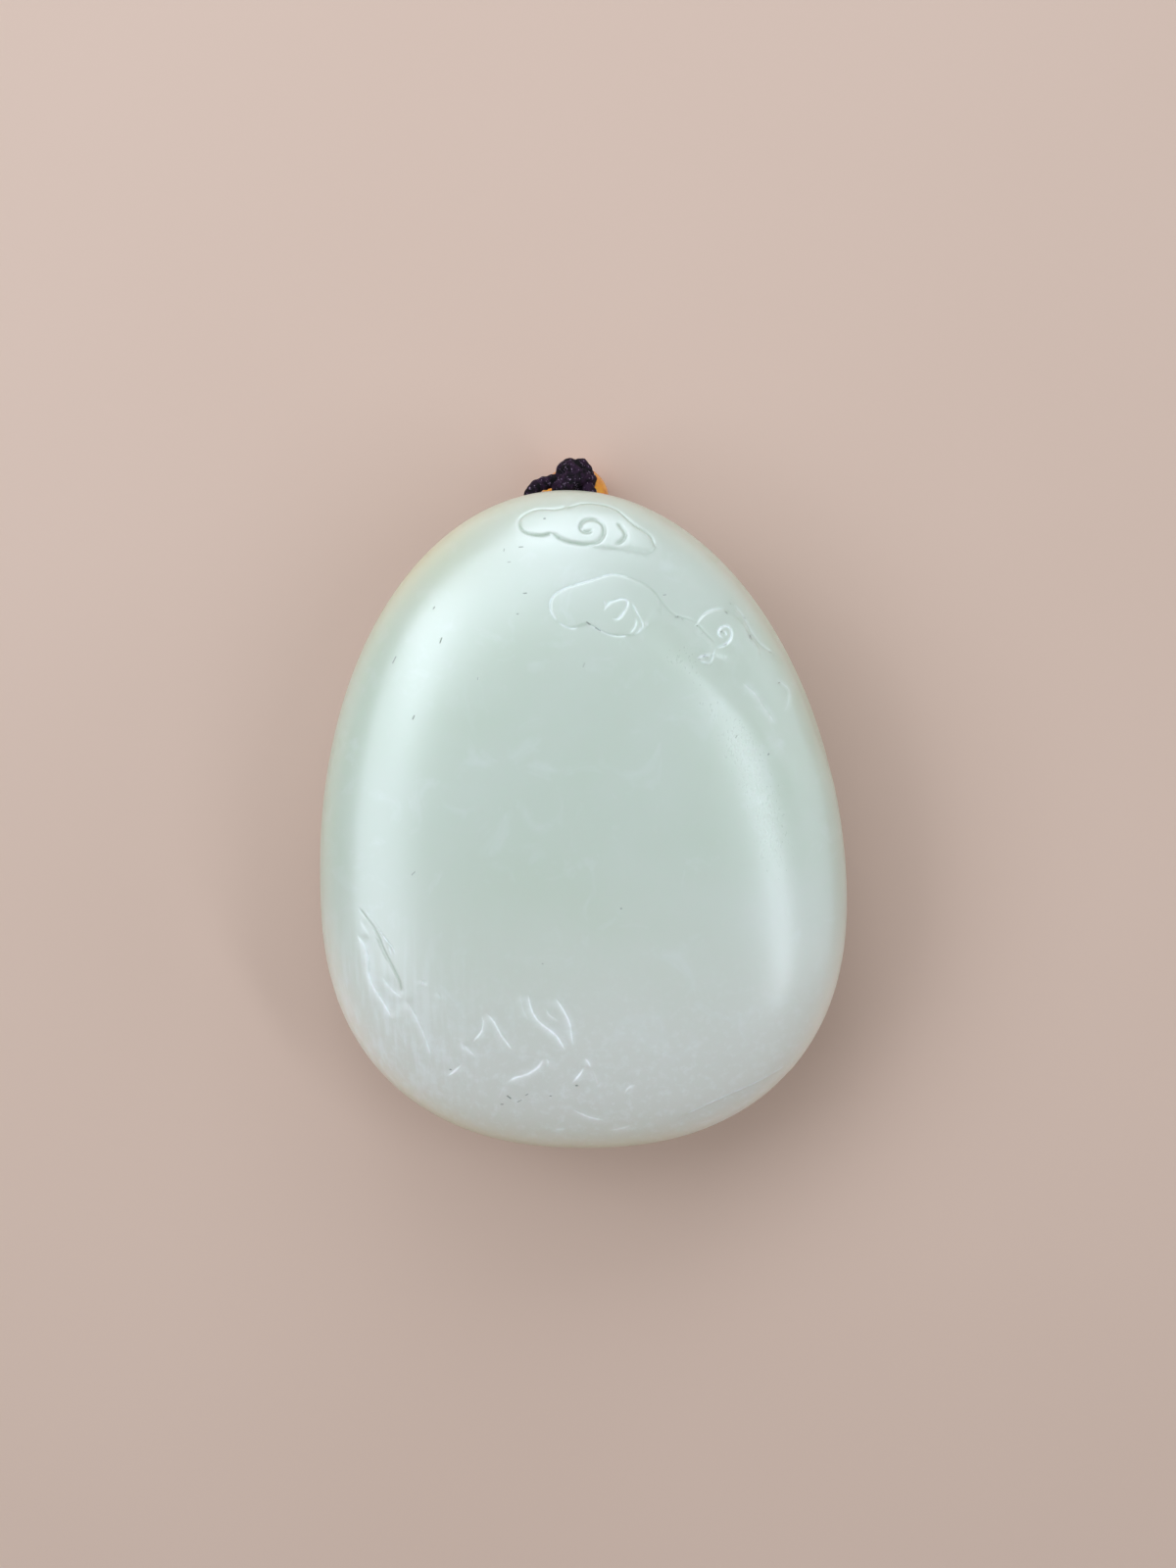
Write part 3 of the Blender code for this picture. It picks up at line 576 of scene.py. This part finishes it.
def carving(points):
    """How far the carved surface stands over the uncarved one, and the tones of its lines: painted
    glints with frosting, and painted shade.
    """
    face = np.flatnonzero(points[:, 2] > RIM_HEIGHT)
    plan = points[face, :2]
    cut = slope_cut(plan)
    tones = {"frost_and_glint": np.zeros(len(face)), "shade": np.zeros(len(face))}
    for name, outline in CLOUD_BODIES.items():
        edge = closed(outline, LINE_STEP)
        near, far, _, _ = near_line(plan, edge, BODY_REACH)
        within = inside(plan[near], edge)
        body = np.where(within, ease(0.5 + far / BODY_EDGE), ease(0.5 - far / BODY_EDGE))
        sink = np.where(within, 0.0, np.exp(-far / BODY_SINK_WIDTH))
        cut[near] += BODY_RISE[name] * (body - BODY_SINK * sink)
    for name, (rise, run, spread, tone, _) in STEPS.items():
        near, far, side, from_end = near_line(plan, STEP_ROUTES[name], LINE_REACH * spread)
        taper = tapered(from_end, STEP_TAPER)
        high = ease(0.5 + side * far / run)
        fade = np.exp(-(far / spread) ** 2)
        cut[near] += rise * (high - 0.5) * fade * taper
        # A painted glint with frosting along the step's edge, and a fainter one beside it
        add_tone(tones, near, tone, taper * np.exp(-(far / TONE_WIDTH) ** 2))
        add_tone(tones, near, tone, GLINT_HALO_TONE * taper * np.exp(-(far / GLINT_HALO_WIDTH) ** 2))
    for name, (depth, width, tone, _) in CUTS.items():
        near, far, _, from_end = near_line(plan, CUT_ROUTES[name], LINE_REACH * width)
        taper = tapered(from_end, CUT_TAPER)
        groove = np.exp(-(far / (0.5 * width)) ** 2) * taper
        cut[near] -= depth * groove
        # A painted glint with frosting along the cut where its tone is over 0, painted shade in it
        # where under 0
        add_tone(tones, near, tone, groove)
    height = np.zeros(len(points))
    height[face] = cut * ease((points[face, 2] - RIM_HEIGHT) / RIM_FADE)
    layers = {}
    for name, values in tones.items():
        layers[name] = np.zeros(len(points))
        layers[name][face] = values
    return height, layers


def mark_strength(points):
    """How strongly a flaw shows at the pebble's points, from 0 to 1."""
    strength = np.zeros(len(points))
    face = np.flatnonzero(points[:, 2] > RIM_HEIGHT)
    for x, y, half, turn, width in MARKS:
        near, far, _, _ = near_line(points[face, :2], mark_route(x, y, half, turn), MARK_REACH)
        mark = ease(1.5 - far / (MARK_THINNING * width))
        strength[face[near]] = np.maximum(strength[face[near]], mark)
    return strength


def split_directions():
    """A triangle mesh on the unit sphere, finer where the pebble is carved."""
    bm = bmesh.new()
    bmesh.ops.create_icosphere(bm, subdivisions=SPHERE_SUBDIVISIONS, radius=1.0)
    for _ in range(SPLIT_PASSES):
        ways = np.array([vert.co for vert in bm.verts])
        ways /= np.linalg.norm(ways, axis=1)[:, None]
        places = egg_points(ways)
        bm.verts.index_update()
        ends = np.array([[edge.verts[0].index, edge.verts[1].index] for edge in bm.edges])
        length = np.linalg.norm(places[ends[:, 0]] - places[ends[:, 1]], axis=1)
        middle = (places[ends[:, 0]] + places[ends[:, 1]]) / 2.0
        long_ones = np.flatnonzero(length > LONGEST_EDGE * edge_wanted(middle))
        if len(long_ones) == 0:
            break
        bm.edges.ensure_lookup_table()
        bmesh.ops.subdivide_edges(bm, edges=[bm.edges[i] for i in long_ones], cuts=1)
        bmesh.ops.triangulate(bm, faces=[face for face in bm.faces if len(face.verts) > 3])
    return bm


def mesh_piece(name, mesh, material):
    """A smooth object of the mesh, with its material if it has one."""
    piece = bpy.data.objects.new(name, mesh)
    bpy.context.scene.collection.objects.link(piece)
    if material:
        mesh.materials.append(material)
    mesh.shade_smooth()
    return piece


def set_coordinates(mesh, points):
    """Move the mesh's points to places in millimetres."""
    mesh.vertices.foreach_set("co", np.ascontiguousarray(points * MM, dtype=np.float32).ravel())
    mesh.update()


def set_attribute(mesh, name, values):
    layer = mesh.attributes.new(name, "FLOAT", "POINT")
    layer.data.foreach_set("value", np.ascontiguousarray(values, dtype=np.float32))


def tube_mesh(name, points, radii, sides):
    """A closed tube along the points, with its own radius for each point and side."""
    points = np.asarray(points, dtype=float)
    tangents = np.gradient(points, axis=0)
    tangents /= np.linalg.norm(tangents, axis=1)[:, None]
    across = np.cross(tangents[0], (0.0, 0.0, 1.0))
    rings = []
    for point, tangent, ring_radii in zip(points, tangents, radii):
        across = across - tangent * across.dot(tangent)
        across /= np.linalg.norm(across)
        over = np.cross(tangent, across)
        angles = np.linspace(0.0, 2.0 * math.pi, sides, endpoint=False)
        ring = np.outer(np.cos(angles), across) + np.outer(np.sin(angles), over)
        rings.append(point + ring * ring_radii[:, None])
    verts = np.concatenate(rings)
    count = len(points)
    faces = []
    for i in range(count - 1):
        for j in range(sides):
            k = (j + 1) % sides
            faces.append((i * sides + j, (i + 1) * sides + j, (i + 1) * sides + k, i * sides + k))
    faces.append(tuple(range(sides)))
    faces.append(tuple((count - 1) * sides + j for j in reversed(range(sides))))
    mesh = bpy.data.meshes.new(name)
    mesh.from_pydata((verts * MM).tolist(), [], faces)
    return mesh


def smooth_edges(mesh):
    """Shade a mesh smooth, but for its sharp edges."""
    mesh.shade_smooth()
    mesh.set_sharp_from_angle(angle=math.radians(SHARP_ANGLE))


def hole_bend(steps):
    """Points on the tunnel's half-round bend, from its left mouth to its right one."""
    middle = (HOLE_LEFT + HOLE_RIGHT) / 2.0
    half = (HOLE_RIGHT.x - HOLE_LEFT.x) / 2.0
    angles = [math.pi + math.pi * i / steps for i in range(steps + 1)]
    return [middle + half * Vector((math.cos(a), math.sin(a), 0.0)) for a in angles]


def cord_hole():
    """The bull-nose tunnel behind the rim, as a cutter."""
    outside = Vector((0.0, 3.0 * HOLE_RADIUS, 0.0))
    route = [HOLE_LEFT + outside, *hole_bend(HOLE_BEND_STEPS), HOLE_RIGHT + outside]
    radii = np.full((len(route), HOLE_SIDES), HOLE_RADIUS)
    return mesh_piece("cord_hole", tube_mesh("cord_hole", route, radii, HOLE_SIDES), None)


def hole_lips(points):
    """How far the surface is rounded in at the mouths of the cord hole."""
    fall = np.zeros(len(points))
    for mouth in (HOLE_LEFT, HOLE_RIGHT):
        off = points - np.array(mouth)
        far = np.hypot(off[:, 0], off[:, 2])
        close = (far < LIP_REACH[0]) & (np.abs(off[:, 1]) < LIP_REACH[1])
        lip = LIP_DEPTH * np.exp(-(far / LIP_RADIUS) ** 4)
        fall = np.where(close, np.maximum(fall, lip), fall)
    return fall


def sets_in(values, zone):
    """From 0 to 1 as a coordinate falls through a zone."""
    start, run = zone
    return ease((start - values) / run)


def stone_zones(ways, points):
    """The stone's zones by name, each from 0 to 1.

    It has russet skin at the upper left and at its foot, and a warm glow along its rim that is
    painted light, standing for light refracted through the thin edge.  It is grey and mottled
    towards its foot, paler at the foot's rim, streaked at the lower left and pitted along one
    line.
    """
    x, y, z = points.T
    flat = np.hypot(ways[:, 0], ways[:, 1])
    edge = HALF_WIDTH * (1.0 - flat ** (2.0 / FACE_EXPONENT))
    edge = np.where(z > RIM_HEIGHT, edge, 0.0)
    below = np.maximum(RIM_HEIGHT - z, 0.0)
    rim, wide = (np.exp(-edge / over - below / down)
                 for over, down in (RIM_GLOW_REACH, WARM_ZONE_REACH))
    corner = np.exp(-((x - WARM_CORNER[0]) / WARM_CORNER_REACH[0]) ** 2
                    - ((y - WARM_CORNER[1]) / WARM_CORNER_REACH[1]) ** 2)
    foot = sets_in(y, WARM_FOOT_DOWN) * sets_in(x, WARM_FOOT_LEFT)
    # The rim term is painted light, a warm glow for light refracted through the thin edge; the
    # corner and foot terms are russet skin
    skin_and_rim_glow = RIM_GLOW * rim + wide * (CORNER_WARMTH * corner + FOOT_WARMTH * foot)
    near, far, _, _ = near_line(points[:, :2], PITTED_ROUTE, LINE_REACH * PITTED_WIDTH)
    pitted = np.zeros(len(points))
    pitted[near] = np.where(z[near] > RIM_HEIGHT, np.exp(-(far / PITTED_WIDTH) ** 2), 0.0)
    return {
        "skin_and_rim_glow": np.clip(skin_and_rim_glow, 0.0, 1.0),
        "greyness": sets_in(y, GREY_DOWN),
        "mottled": sets_in(y, MOTTLED_DOWN),
        "lift": np.exp(-(edge + below) / LIFT_REACH) * sets_in(y, LIFT_DOWN),
        "streaked": sets_in(x, STREAKED_LEFT) * sets_in(y, STREAKED_DOWN),
        "pitted": pitted,
    }


def carved_mesh():
    """The pebble's mesh with its carving, and with its tones and zones as attributes."""
    bm = split_directions()
    ways = np.array([vert.co for vert in bm.verts])
    ways /= np.linalg.norm(ways, axis=1)[:, None]
    mesh = bpy.data.meshes.new("jade_pebble_carved")
    bm.to_mesh(mesh)
    bm.free()
    plain = egg_points(ways)
    set_coordinates(mesh, plain)
    normals = np.empty(len(plain) * 3, dtype=np.float32)
    mesh.vertex_normals.foreach_get("vector", normals)
    stands, tones = carving(plain)
    marks = mark_strength(plain)
    shift = stands - hole_lips(plain) - MARK_DEPTH * marks
    set_coordinates(mesh, plain + normals.reshape(-1, 3) * shift[:, None])
    set_attribute(mesh, "mark", marks)
    for name, values in {**tones, **stone_zones(ways, plain)}.items():
        set_attribute(mesh, name, values)
    return mesh


def drill_hole(pebble):
    """Cut the cord hole out of the pebble's mesh."""
    cutter = cord_hole()
    drill = pebble.modifiers.new("cord_hole", "BOOLEAN")
    drill.operation = "DIFFERENCE"
    drill.solver = "EXACT"
    drill.object = cutter
    evaluated = pebble.evaluated_get(bpy.context.evaluated_depsgraph_get())
    drilled = bpy.data.meshes.new_from_object(evaluated)
    pebble.modifiers.clear()
    pebble.data = drilled
    bpy.data.objects.remove(cutter, do_unlink=True)


def jade_pebble(material):
    pebble = mesh_piece("jade_pebble_carved", carved_mesh(), material)
    drill_hole(pebble)
    pebble.data.materials.clear()
    pebble.data.materials.append(material)
    smooth_edges(pebble.data)
    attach(pebble, "root")
    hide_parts("jade_pebble")


def beside_knot(way):
    """The place where the cord leaves the knot in a direction."""
    return KNOT_PLACE + Vector(way).normalized() * (KNOT_RADIUS + NODE_GAP)


def cord_route():
    """The whole cord: out of the knot, through the hole and the knot, round the loop and back."""
    left = [BEAD_PLACE + Vector((-STRAND_X, y, z)) for y, z in BEAD_ROUTE]
    right = [BEAD_PLACE + Vector((STRAND_X, y, z)) for y, z in BEAD_ROUTE]
    loop = [Vector((x, y, CORD_RADIUS + CORD_LIFT)) for x, y in LOOP_ROUTE]
    return [
        KNOT_PLACE + Vector(KNOT_START),
        beside_knot(BAIL_LEFT_END),
        KNOT_PLACE + Vector(BAIL_BOW),
        HOLE_LEFT + Vector(BAIL_ENTRY),
        *hole_bend(4),
        beside_knot(BAIL_RIGHT_END),
        KNOT_PLACE + Vector(KNOT_PASS),
        *right, *reversed(loop), *reversed(left),
        KNOT_PLACE + Vector(KNOT_END),
    ]


def braid_radii(points, sides, radius):
    """The radius of a round braid along its points and round its sides."""
    run = np.concatenate([[0.0], np.cumsum(np.linalg.norm(np.diff(points, axis=0), axis=1))])
    angles = np.linspace(0.0, 2.0 * math.pi, sides, endpoint=False)
    turns = BRAID_STRANDS / 2.0 * angles[None, :] / (2.0 * math.pi)
    steps = run[:, None] / BRAID_PITCH * 2.0
    right, left = turns + steps, turns - steps
    across = np.abs(np.cos(math.pi * right))
    along = np.abs(np.cos(math.pi * left))
    over = (np.round(right) + np.round(left)) % 2 < 0.5
    bulge = np.where(over, across ** 0.5 * along, across * along ** 0.5)
    return radius * (1.0 - BRAID_DEPTH + BRAID_DEPTH * bulge)


def braided(name, points, radius, material):
    """A length of round braid along the points."""
    points = np.array([tuple(point) for point in points])
    mesh = tube_mesh(name, points, braid_radii(points, BRAID_SIDES, radius), BRAID_SIDES)
    return mesh_piece(name, mesh, material)


def knot_points(count):
    """A band wound on a ball, with its leads and bights, over and under itself."""
    tilt = Matrix.Rotation(math.radians(KNOT_TILT), 3, "X")
    points = []
    for i in range(count + 1):
        t = 2.0 * math.pi * i / count
        latitude = KNOT_LATITUDE * math.cos(KNOT_BIGHTS * t)
        longitude = KNOT_LEADS * t + math.radians(KNOT_PHASE)
        reach = KNOT_RADIUS * (KNOT_REACH + KNOT_WEAVE * math.sin(2 * KNOT_BIGHTS * t))
        flat = reach * math.cos(latitude)
        way = Vector((flat * math.cos(longitude), flat * math.sin(longitude),
                      reach * math.sin(latitude)))
        points.append(KNOT_PLACE + KNOT_SHIFT + tilt @ way)
    return points


def collar_points(count):
    """The turns round the cord's neck, between the knot and the stone."""
    axis = (HOLE_RIGHT - KNOT_PLACE).normalized()
    front = axis.cross(Vector((1.0, 0.0, 0.0))).normalized()
    side = front.cross(axis)
    points = []
    for i in range(count + 1):
        share = i / count
        angle = 2.0 * math.pi * COLLAR_TURNS * share
        spoke = (side * math.cos(angle) * COLLAR_RADII[0]
                 + front * math.sin(angle) * COLLAR_RADII[1])
        points.append(COLLAR_PLACE + spoke + axis * (COLLAR_PITCH * (share - 0.5)))
    return points


def cord_knot(material):
    knot = braided("cord_knot_tied", knot_points(KNOT_STEPS), KNOT_STRAND_RADIUS, material)
    collar = braided("collar", collar_points(COLLAR_STEPS), KNOT_STRAND_RADIUS, material)
    bm = bmesh.new()
    bm.from_mesh(knot.data)
    bm.from_mesh(collar.data)
    bm.to_mesh(knot.data)
    bm.free()
    bpy.data.objects.remove(collar, do_unlink=True)
    knot.data.shade_smooth()
    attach(knot, "root")
    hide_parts("cord_knot")
    return knot


def bead_profile(steps):
    """Half a section through the bead: out of its bore, over its side and back in."""
    low = math.asin(BEAD_BORE_RADIUS / BEAD_RADIUS)
    profile = []
    for i in range(steps + 1):
        angle = low + (math.pi - 2.0 * low) * i / steps
        profile.append((BEAD_RADIUS * math.sin(angle), BEAD_RADIUS * math.cos(angle)))
    end = profile[-1][1]
    for i in range(1, BORE_STEPS):
        share = i / BORE_STEPS
        radius = BEAD_BORE_RADIUS - BORE_WAIST * math.sin(math.pi * share)
        profile.append((radius, end * (1.0 - 2.0 * share)))
    return profile


def amber_bead(material):
    bm = bmesh.new()
    rings = []
    tilt = math.radians(90.0 - BEAD_SLOPE)
    axis = Vector((0.0, math.sin(tilt), math.cos(tilt)))
    side = Vector((1.0, 0.0, 0.0))
    front = axis.cross(side)
    for radius, height in bead_profile(BEAD_STEPS):
        ring = []
        for j in range(BEAD_SIDES):
            angle = 2.0 * math.pi * j / BEAD_SIDES
            spoke = side * math.cos(angle) + front * math.sin(angle)
            ring.append(bm.verts.new((BEAD_PLACE + axis * height + spoke * radius) * MM))
        rings.append(ring)
    for ring, after in zip(rings, rings[1:] + rings[:1]):
        for j in range(BEAD_SIDES):
            k = (j + 1) % BEAD_SIDES
            bm.faces.new((ring[j], after[j], after[k], ring[k]))
    bmesh.ops.recalc_face_normals(bm, faces=bm.faces)
    mesh = bpy.data.meshes.new("amber_bead_turned")
    bm.to_mesh(mesh)
    bm.free()
    bead = mesh_piece("amber_bead_turned", mesh, material)
    smooth_edges(mesh)
    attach(bead, "root")
    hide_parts("amber_bead")
    return bead


def braided_cord(material):
    points = spline_points(cord_route(), CORD_STEP)
    cord = braided("braided_cord", points, CORD_RADIUS, material)
    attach(cord, "root")
    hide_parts("cord_bail", "cord_loop")


def new_material(name, inputs):
    made = bpy.data.materials.new(name)
    made.use_nodes = True
    shader = made.node_tree.nodes["Principled BSDF"]
    for socket, value in inputs.items():
        shader.inputs[socket].default_value = value
    return made, made.node_tree, shader


def feed(tree, socket, value):
    """Link another node's output into a socket, or set a plain value on it."""
    if isinstance(value, bpy.types.NodeSocket):
        tree.links.new(value, socket)
    else:
        socket.default_value = value


def add_node(tree, kind, inputs=None, **settings):
    node = tree.nodes.new(kind)
    for name, value in settings.items():
        setattr(node, name, value)
    for name, value in (inputs or {}).items():
        feed(tree, node.inputs[name], value)
    return node


def object_place(tree):
    return add_node(tree, "ShaderNodeTexCoord").outputs["Object"]


def attribute(tree, name):
    return add_node(tree, "ShaderNodeAttribute", attribute_name=name).outputs["Fac"]


def stretched(tree, coords, scale):
    node = add_node(tree, "ShaderNodeMapping", {"Vector": coords, "Scale": scale})
    return node.outputs["Vector"]


def noise(tree, coords, scale, detail=2.0, roughness=0.5, distortion=0.0):
    node = add_node(tree, "ShaderNodeTexNoise", {
        "Vector": coords, "Scale": scale, "Detail": detail, "Roughness": roughness,
        "Distortion": distortion})
    return node.outputs["Fac"]


def remap(tree, value, low, high, to_low=0.0, to_high=1.0):
    node = add_node(tree, "ShaderNodeMapRange", {
        "Value": value, "From Min": low, "From Max": high, "To Min": to_low, "To Max": to_high})
    return node.outputs["Result"]


def worked_out(tree, operation, first, second):
    """A number from two, each a socket or a plain number."""
    node = add_node(tree, "ShaderNodeMath", operation=operation)
    feed(tree, node.inputs[0], first)
    feed(tree, node.inputs[1], second)
    return node.outputs["Value"]


def times(tree, first, second):
    return worked_out(tree, "MULTIPLY", first, second)


def plus(tree, first, second):
    return worked_out(tree, "ADD", first, second)


def blend(tree, share, first, second):
    """A colour mixed from two, each a socket or a plain colour."""
    node = add_node(tree, "ShaderNodeMix", data_type="RGBA")
    feed(tree, node.inputs[0], share)
    for socket, value in ((node.inputs[6], first), (node.inputs[7], second)):
        feed(tree, socket, (*value, 1.0) if isinstance(value, tuple) else value)
    return node.outputs[2]


def bump(tree, height, strength):
    node = add_node(tree, "ShaderNodeBump", {
        "Height": height, "Strength": strength, "Distance": BUMP_HEIGHT * MM})
    return node.outputs["Normal"]


def jade_body(tree, place, clouding):
    """The stone's colour: green, paler in clouds and wisps, greyer and mottled at its foot, with
    russet skin and a painted warm glow along its rim.
    """
    wisps = noise(tree, place, WISP_SCALE, 4.0, 0.6, 1.2)
    streaks = noise(tree, stretched(tree, place, (1.0, 0.10, 1.0)), STREAK_SCALE)
    mottling = noise(tree, place, MOTTLING_SCALE, 3.0, 0.6)
    haze = times(tree, remap(tree, streaks, 0.45, 0.65), attribute(tree, "streaked"))
    spots = times(tree, remap(tree, mottling, 0.50, 0.72), attribute(tree, "mottled"))
    body = blend(tree, remap(tree, clouding, 0.36, 0.64), JADE_GREEN, JADE_PALE)
    body = blend(tree, attribute(tree, "greyness"), body, JADE_GREY)
    body = blend(tree, attribute(tree, "lift"), body, JADE_EDGE)
    body = blend(tree, remap(tree, wisps, 0.55, 0.75, 0.0, WISP_SHARE), body, JADE_WISP)
    body = blend(tree, times(tree, haze, HAZE_SHARE), body, JADE_WHITE_AND_GLINT)
    body = blend(tree, times(tree, spots, SPOT_SHARE), body, JADE_WHITE_AND_GLINT)
    # Russet skin, and the painted warm glow along the rim for light refracted through the thin
    # edge
    return blend(tree, attribute(tree, "skin_and_rim_glow"), body, JADE_SKIN_AND_RIM_GLOW)


def jade_material():
    made, tree, shader = new_material("jade", {
        "IOR": 1.61, "Specular IOR Level": 1.0, "Subsurface Weight": 1.0,
        "Subsurface Radius": (1.0, 1.2, 1.1), "Subsurface Scale": 0.0018})
    place = object_place(tree)
    clouding = noise(tree, place, CLOUDING_SCALE, 3.0, 0.5, 0.4)
    swell = noise(tree, place, SWELL_SCALE, 3.0, 0.6)
    pits = noise(tree, stretched(tree, place, (1.0, 0.45, 1.0)), PIT_SCALE, 2.0, 0.55)
    pitted = attribute(tree, "pitted")
    uneven = remap(tree, noise(tree, place, FROST_AND_GLINT_SCALE), 0.35, 0.60, *FROST_AND_GLINT_SHARES)
    frost_and_glint = times(tree, attribute(tree, "frost_and_glint"), uneven)

    colour = jade_body(tree, place, clouding)
    # Painted shade darkening the carved grooves
    colour = blend(tree, times(tree, attribute(tree, "shade"), SHADE_SHARE), colour, JADE_GROOVE_SHADE)
    # Painted glints whitening the carved edges; the same layer roughens them below
    colour = blend(tree, frost_and_glint, colour, JADE_WHITE_AND_GLINT)
    colour = blend(tree, times(tree, attribute(tree, "mark"), FLAW_SHARE), colour, JADE_FLAW)
    feed(tree, shader.inputs["Base Color"], colour)

    polish = remap(tree, clouding, 0.35, 0.65, *JADE_ROUGHNESS)
    grain = times(tree, remap(tree, pits, 0.3, 0.7, -PIT_ROUGHNESS, PIT_ROUGHNESS), pitted)
    rough = plus(tree, plus(tree, polish, grain), times(tree, frost_and_glint, FROST_ROUGHNESS))
    feed(tree, shader.inputs["Roughness"], rough)
    height = plus(tree, times(tree, pits, pitted), swell)
    feed(tree, shader.inputs["Normal"], bump(tree, height, JADE_BUMP))
    return made


def thread_material():
    made, tree, shader = new_material("thread", {
        "Roughness": 0.8, "Specular IOR Level": 0.15, "Sheen Weight": 0.05,
        "Sheen Roughness": 0.4, "Sheen Tint": (*THREAD_SHEEN, 1.0)})
    place = object_place(tree)
    fibre = noise(tree, place, FIBRE_SCALE, 3.0, 0.65)
    patches = noise(tree, place, PATCH_SCALE)
    colour = blend(tree, remap(tree, patches, 0.42, 0.62), THREAD_BLACK, THREAD_PURPLE)
    colour = blend(tree, remap(tree, fibre, 0.60, 0.70), colour, THREAD_FIBRE)
    feed(tree, shader.inputs["Base Color"], colour)
    feed(tree, shader.inputs["Normal"], bump(tree, fibre, THREAD_BUMP))
    return made


def amber_material():
    made, tree, shader = new_material("amber", {
        "IOR": 1.54, "Subsurface Weight": 0.5, "Subsurface Radius": (1.0, 0.4, 0.1),
        "Subsurface Scale": 0.002})
    swirl = noise(tree, object_place(tree), SWIRL_SCALE, 3.0, 0.5, 2.0)
    colour = blend(tree, remap(tree, swirl, 0.35, 0.65), AMBER_DARK, AMBER_LIGHT)
    feed(tree, shader.inputs["Base Color"], colour)
    feed(tree, shader.inputs["Roughness"], remap(tree, swirl, 0.3, 0.7, *AMBER_ROUGHNESS))
    return made


def floor_material():
    made, tree, shader = new_material("floor", {"Roughness": 0.7})
    shade = noise(tree, object_place(tree), FLOOR_SCALE)
    feed(tree, shader.inputs["Base Color"], blend(tree, shade, *FLOOR_COLOURS))
    return made


def pale_floor():
    bpy.ops.mesh.primitive_plane_add(size=FLOOR_SIZE * MM, location=(0.0, 0.0, 0.0))
    floor = bpy.context.object
    floor.name = "floor"
    floor.data.materials.append(floor_material())


def look_at(item, target, roll=0.0):
    """Turn an item's -Z to a point, with its +Y as near to the pebble's upper end as can be."""
    way = (target - item.location).normalized()
    right = way.cross(Vector((0.0, 1.0, 0.0))).normalized()
    turn = Matrix((right, right.cross(way), -way)).transposed()
    item.rotation_mode = "QUATERNION"
    item.rotation_quaternion = (turn @ Matrix.Rotation(math.radians(roll), 3, "Z")).to_quaternion()


def softbox(name, place, target, size, power_w, roll):
    light = bpy.data.lights.new(name, "AREA")
    light.shape = "RECTANGLE"
    light.size, light.size_y = (side * MM for side in size)
    light.energy = power_w
    light.color = COOL_LIGHT
    item = bpy.data.objects.new(name, light)
    item.location = Vector(place) * MM
    bpy.context.scene.collection.objects.link(item)
    look_at(item, Vector(target) * MM, roll)
    item.visible_camera = False


def studio():
    for name, (place, size, power_w, roll) in SOFTBOXES.items():
        softbox(name, place, LIT_PLACE, size, power_w, roll)
    world = bpy.data.worlds.new("studio")
    world.use_nodes = True
    sky = world.node_tree.nodes["Background"]
    sky.inputs["Color"].default_value = (*SKY_COLOUR, 1.0)
    sky.inputs["Strength"].default_value = SKY_STRENGTH
    bpy.context.scene.world = world
    bpy.context.scene.view_settings.view_transform = "Standard"


def camera():
    lens = bpy.data.cameras.new("camera")
    lens.sensor_fit = "AUTO"
    lens.sensor_width = CAMERA_SENSOR
    lens.lens = CAMERA_LENS
    lens.clip_start = CAMERA_CLIP * MM
    item = bpy.data.objects.new("camera", lens)
    tilt = math.radians(CAMERA_TILT)
    way = Vector((0.0, math.sin(tilt), math.cos(tilt)))
    item.location = (CAMERA_CENTRE + CAMERA_DISTANCE * way) * MM
    bpy.context.scene.collection.objects.link(item)
    look_at(item, CAMERA_AIM * MM)
    bpy.context.scene.camera = item


camera()
thread = thread_material()
knot = cord_knot(thread)
bead = amber_bead(amber_material())
braided_cord(thread)
jade_pebble(jade_material())
pale_floor()
studio()
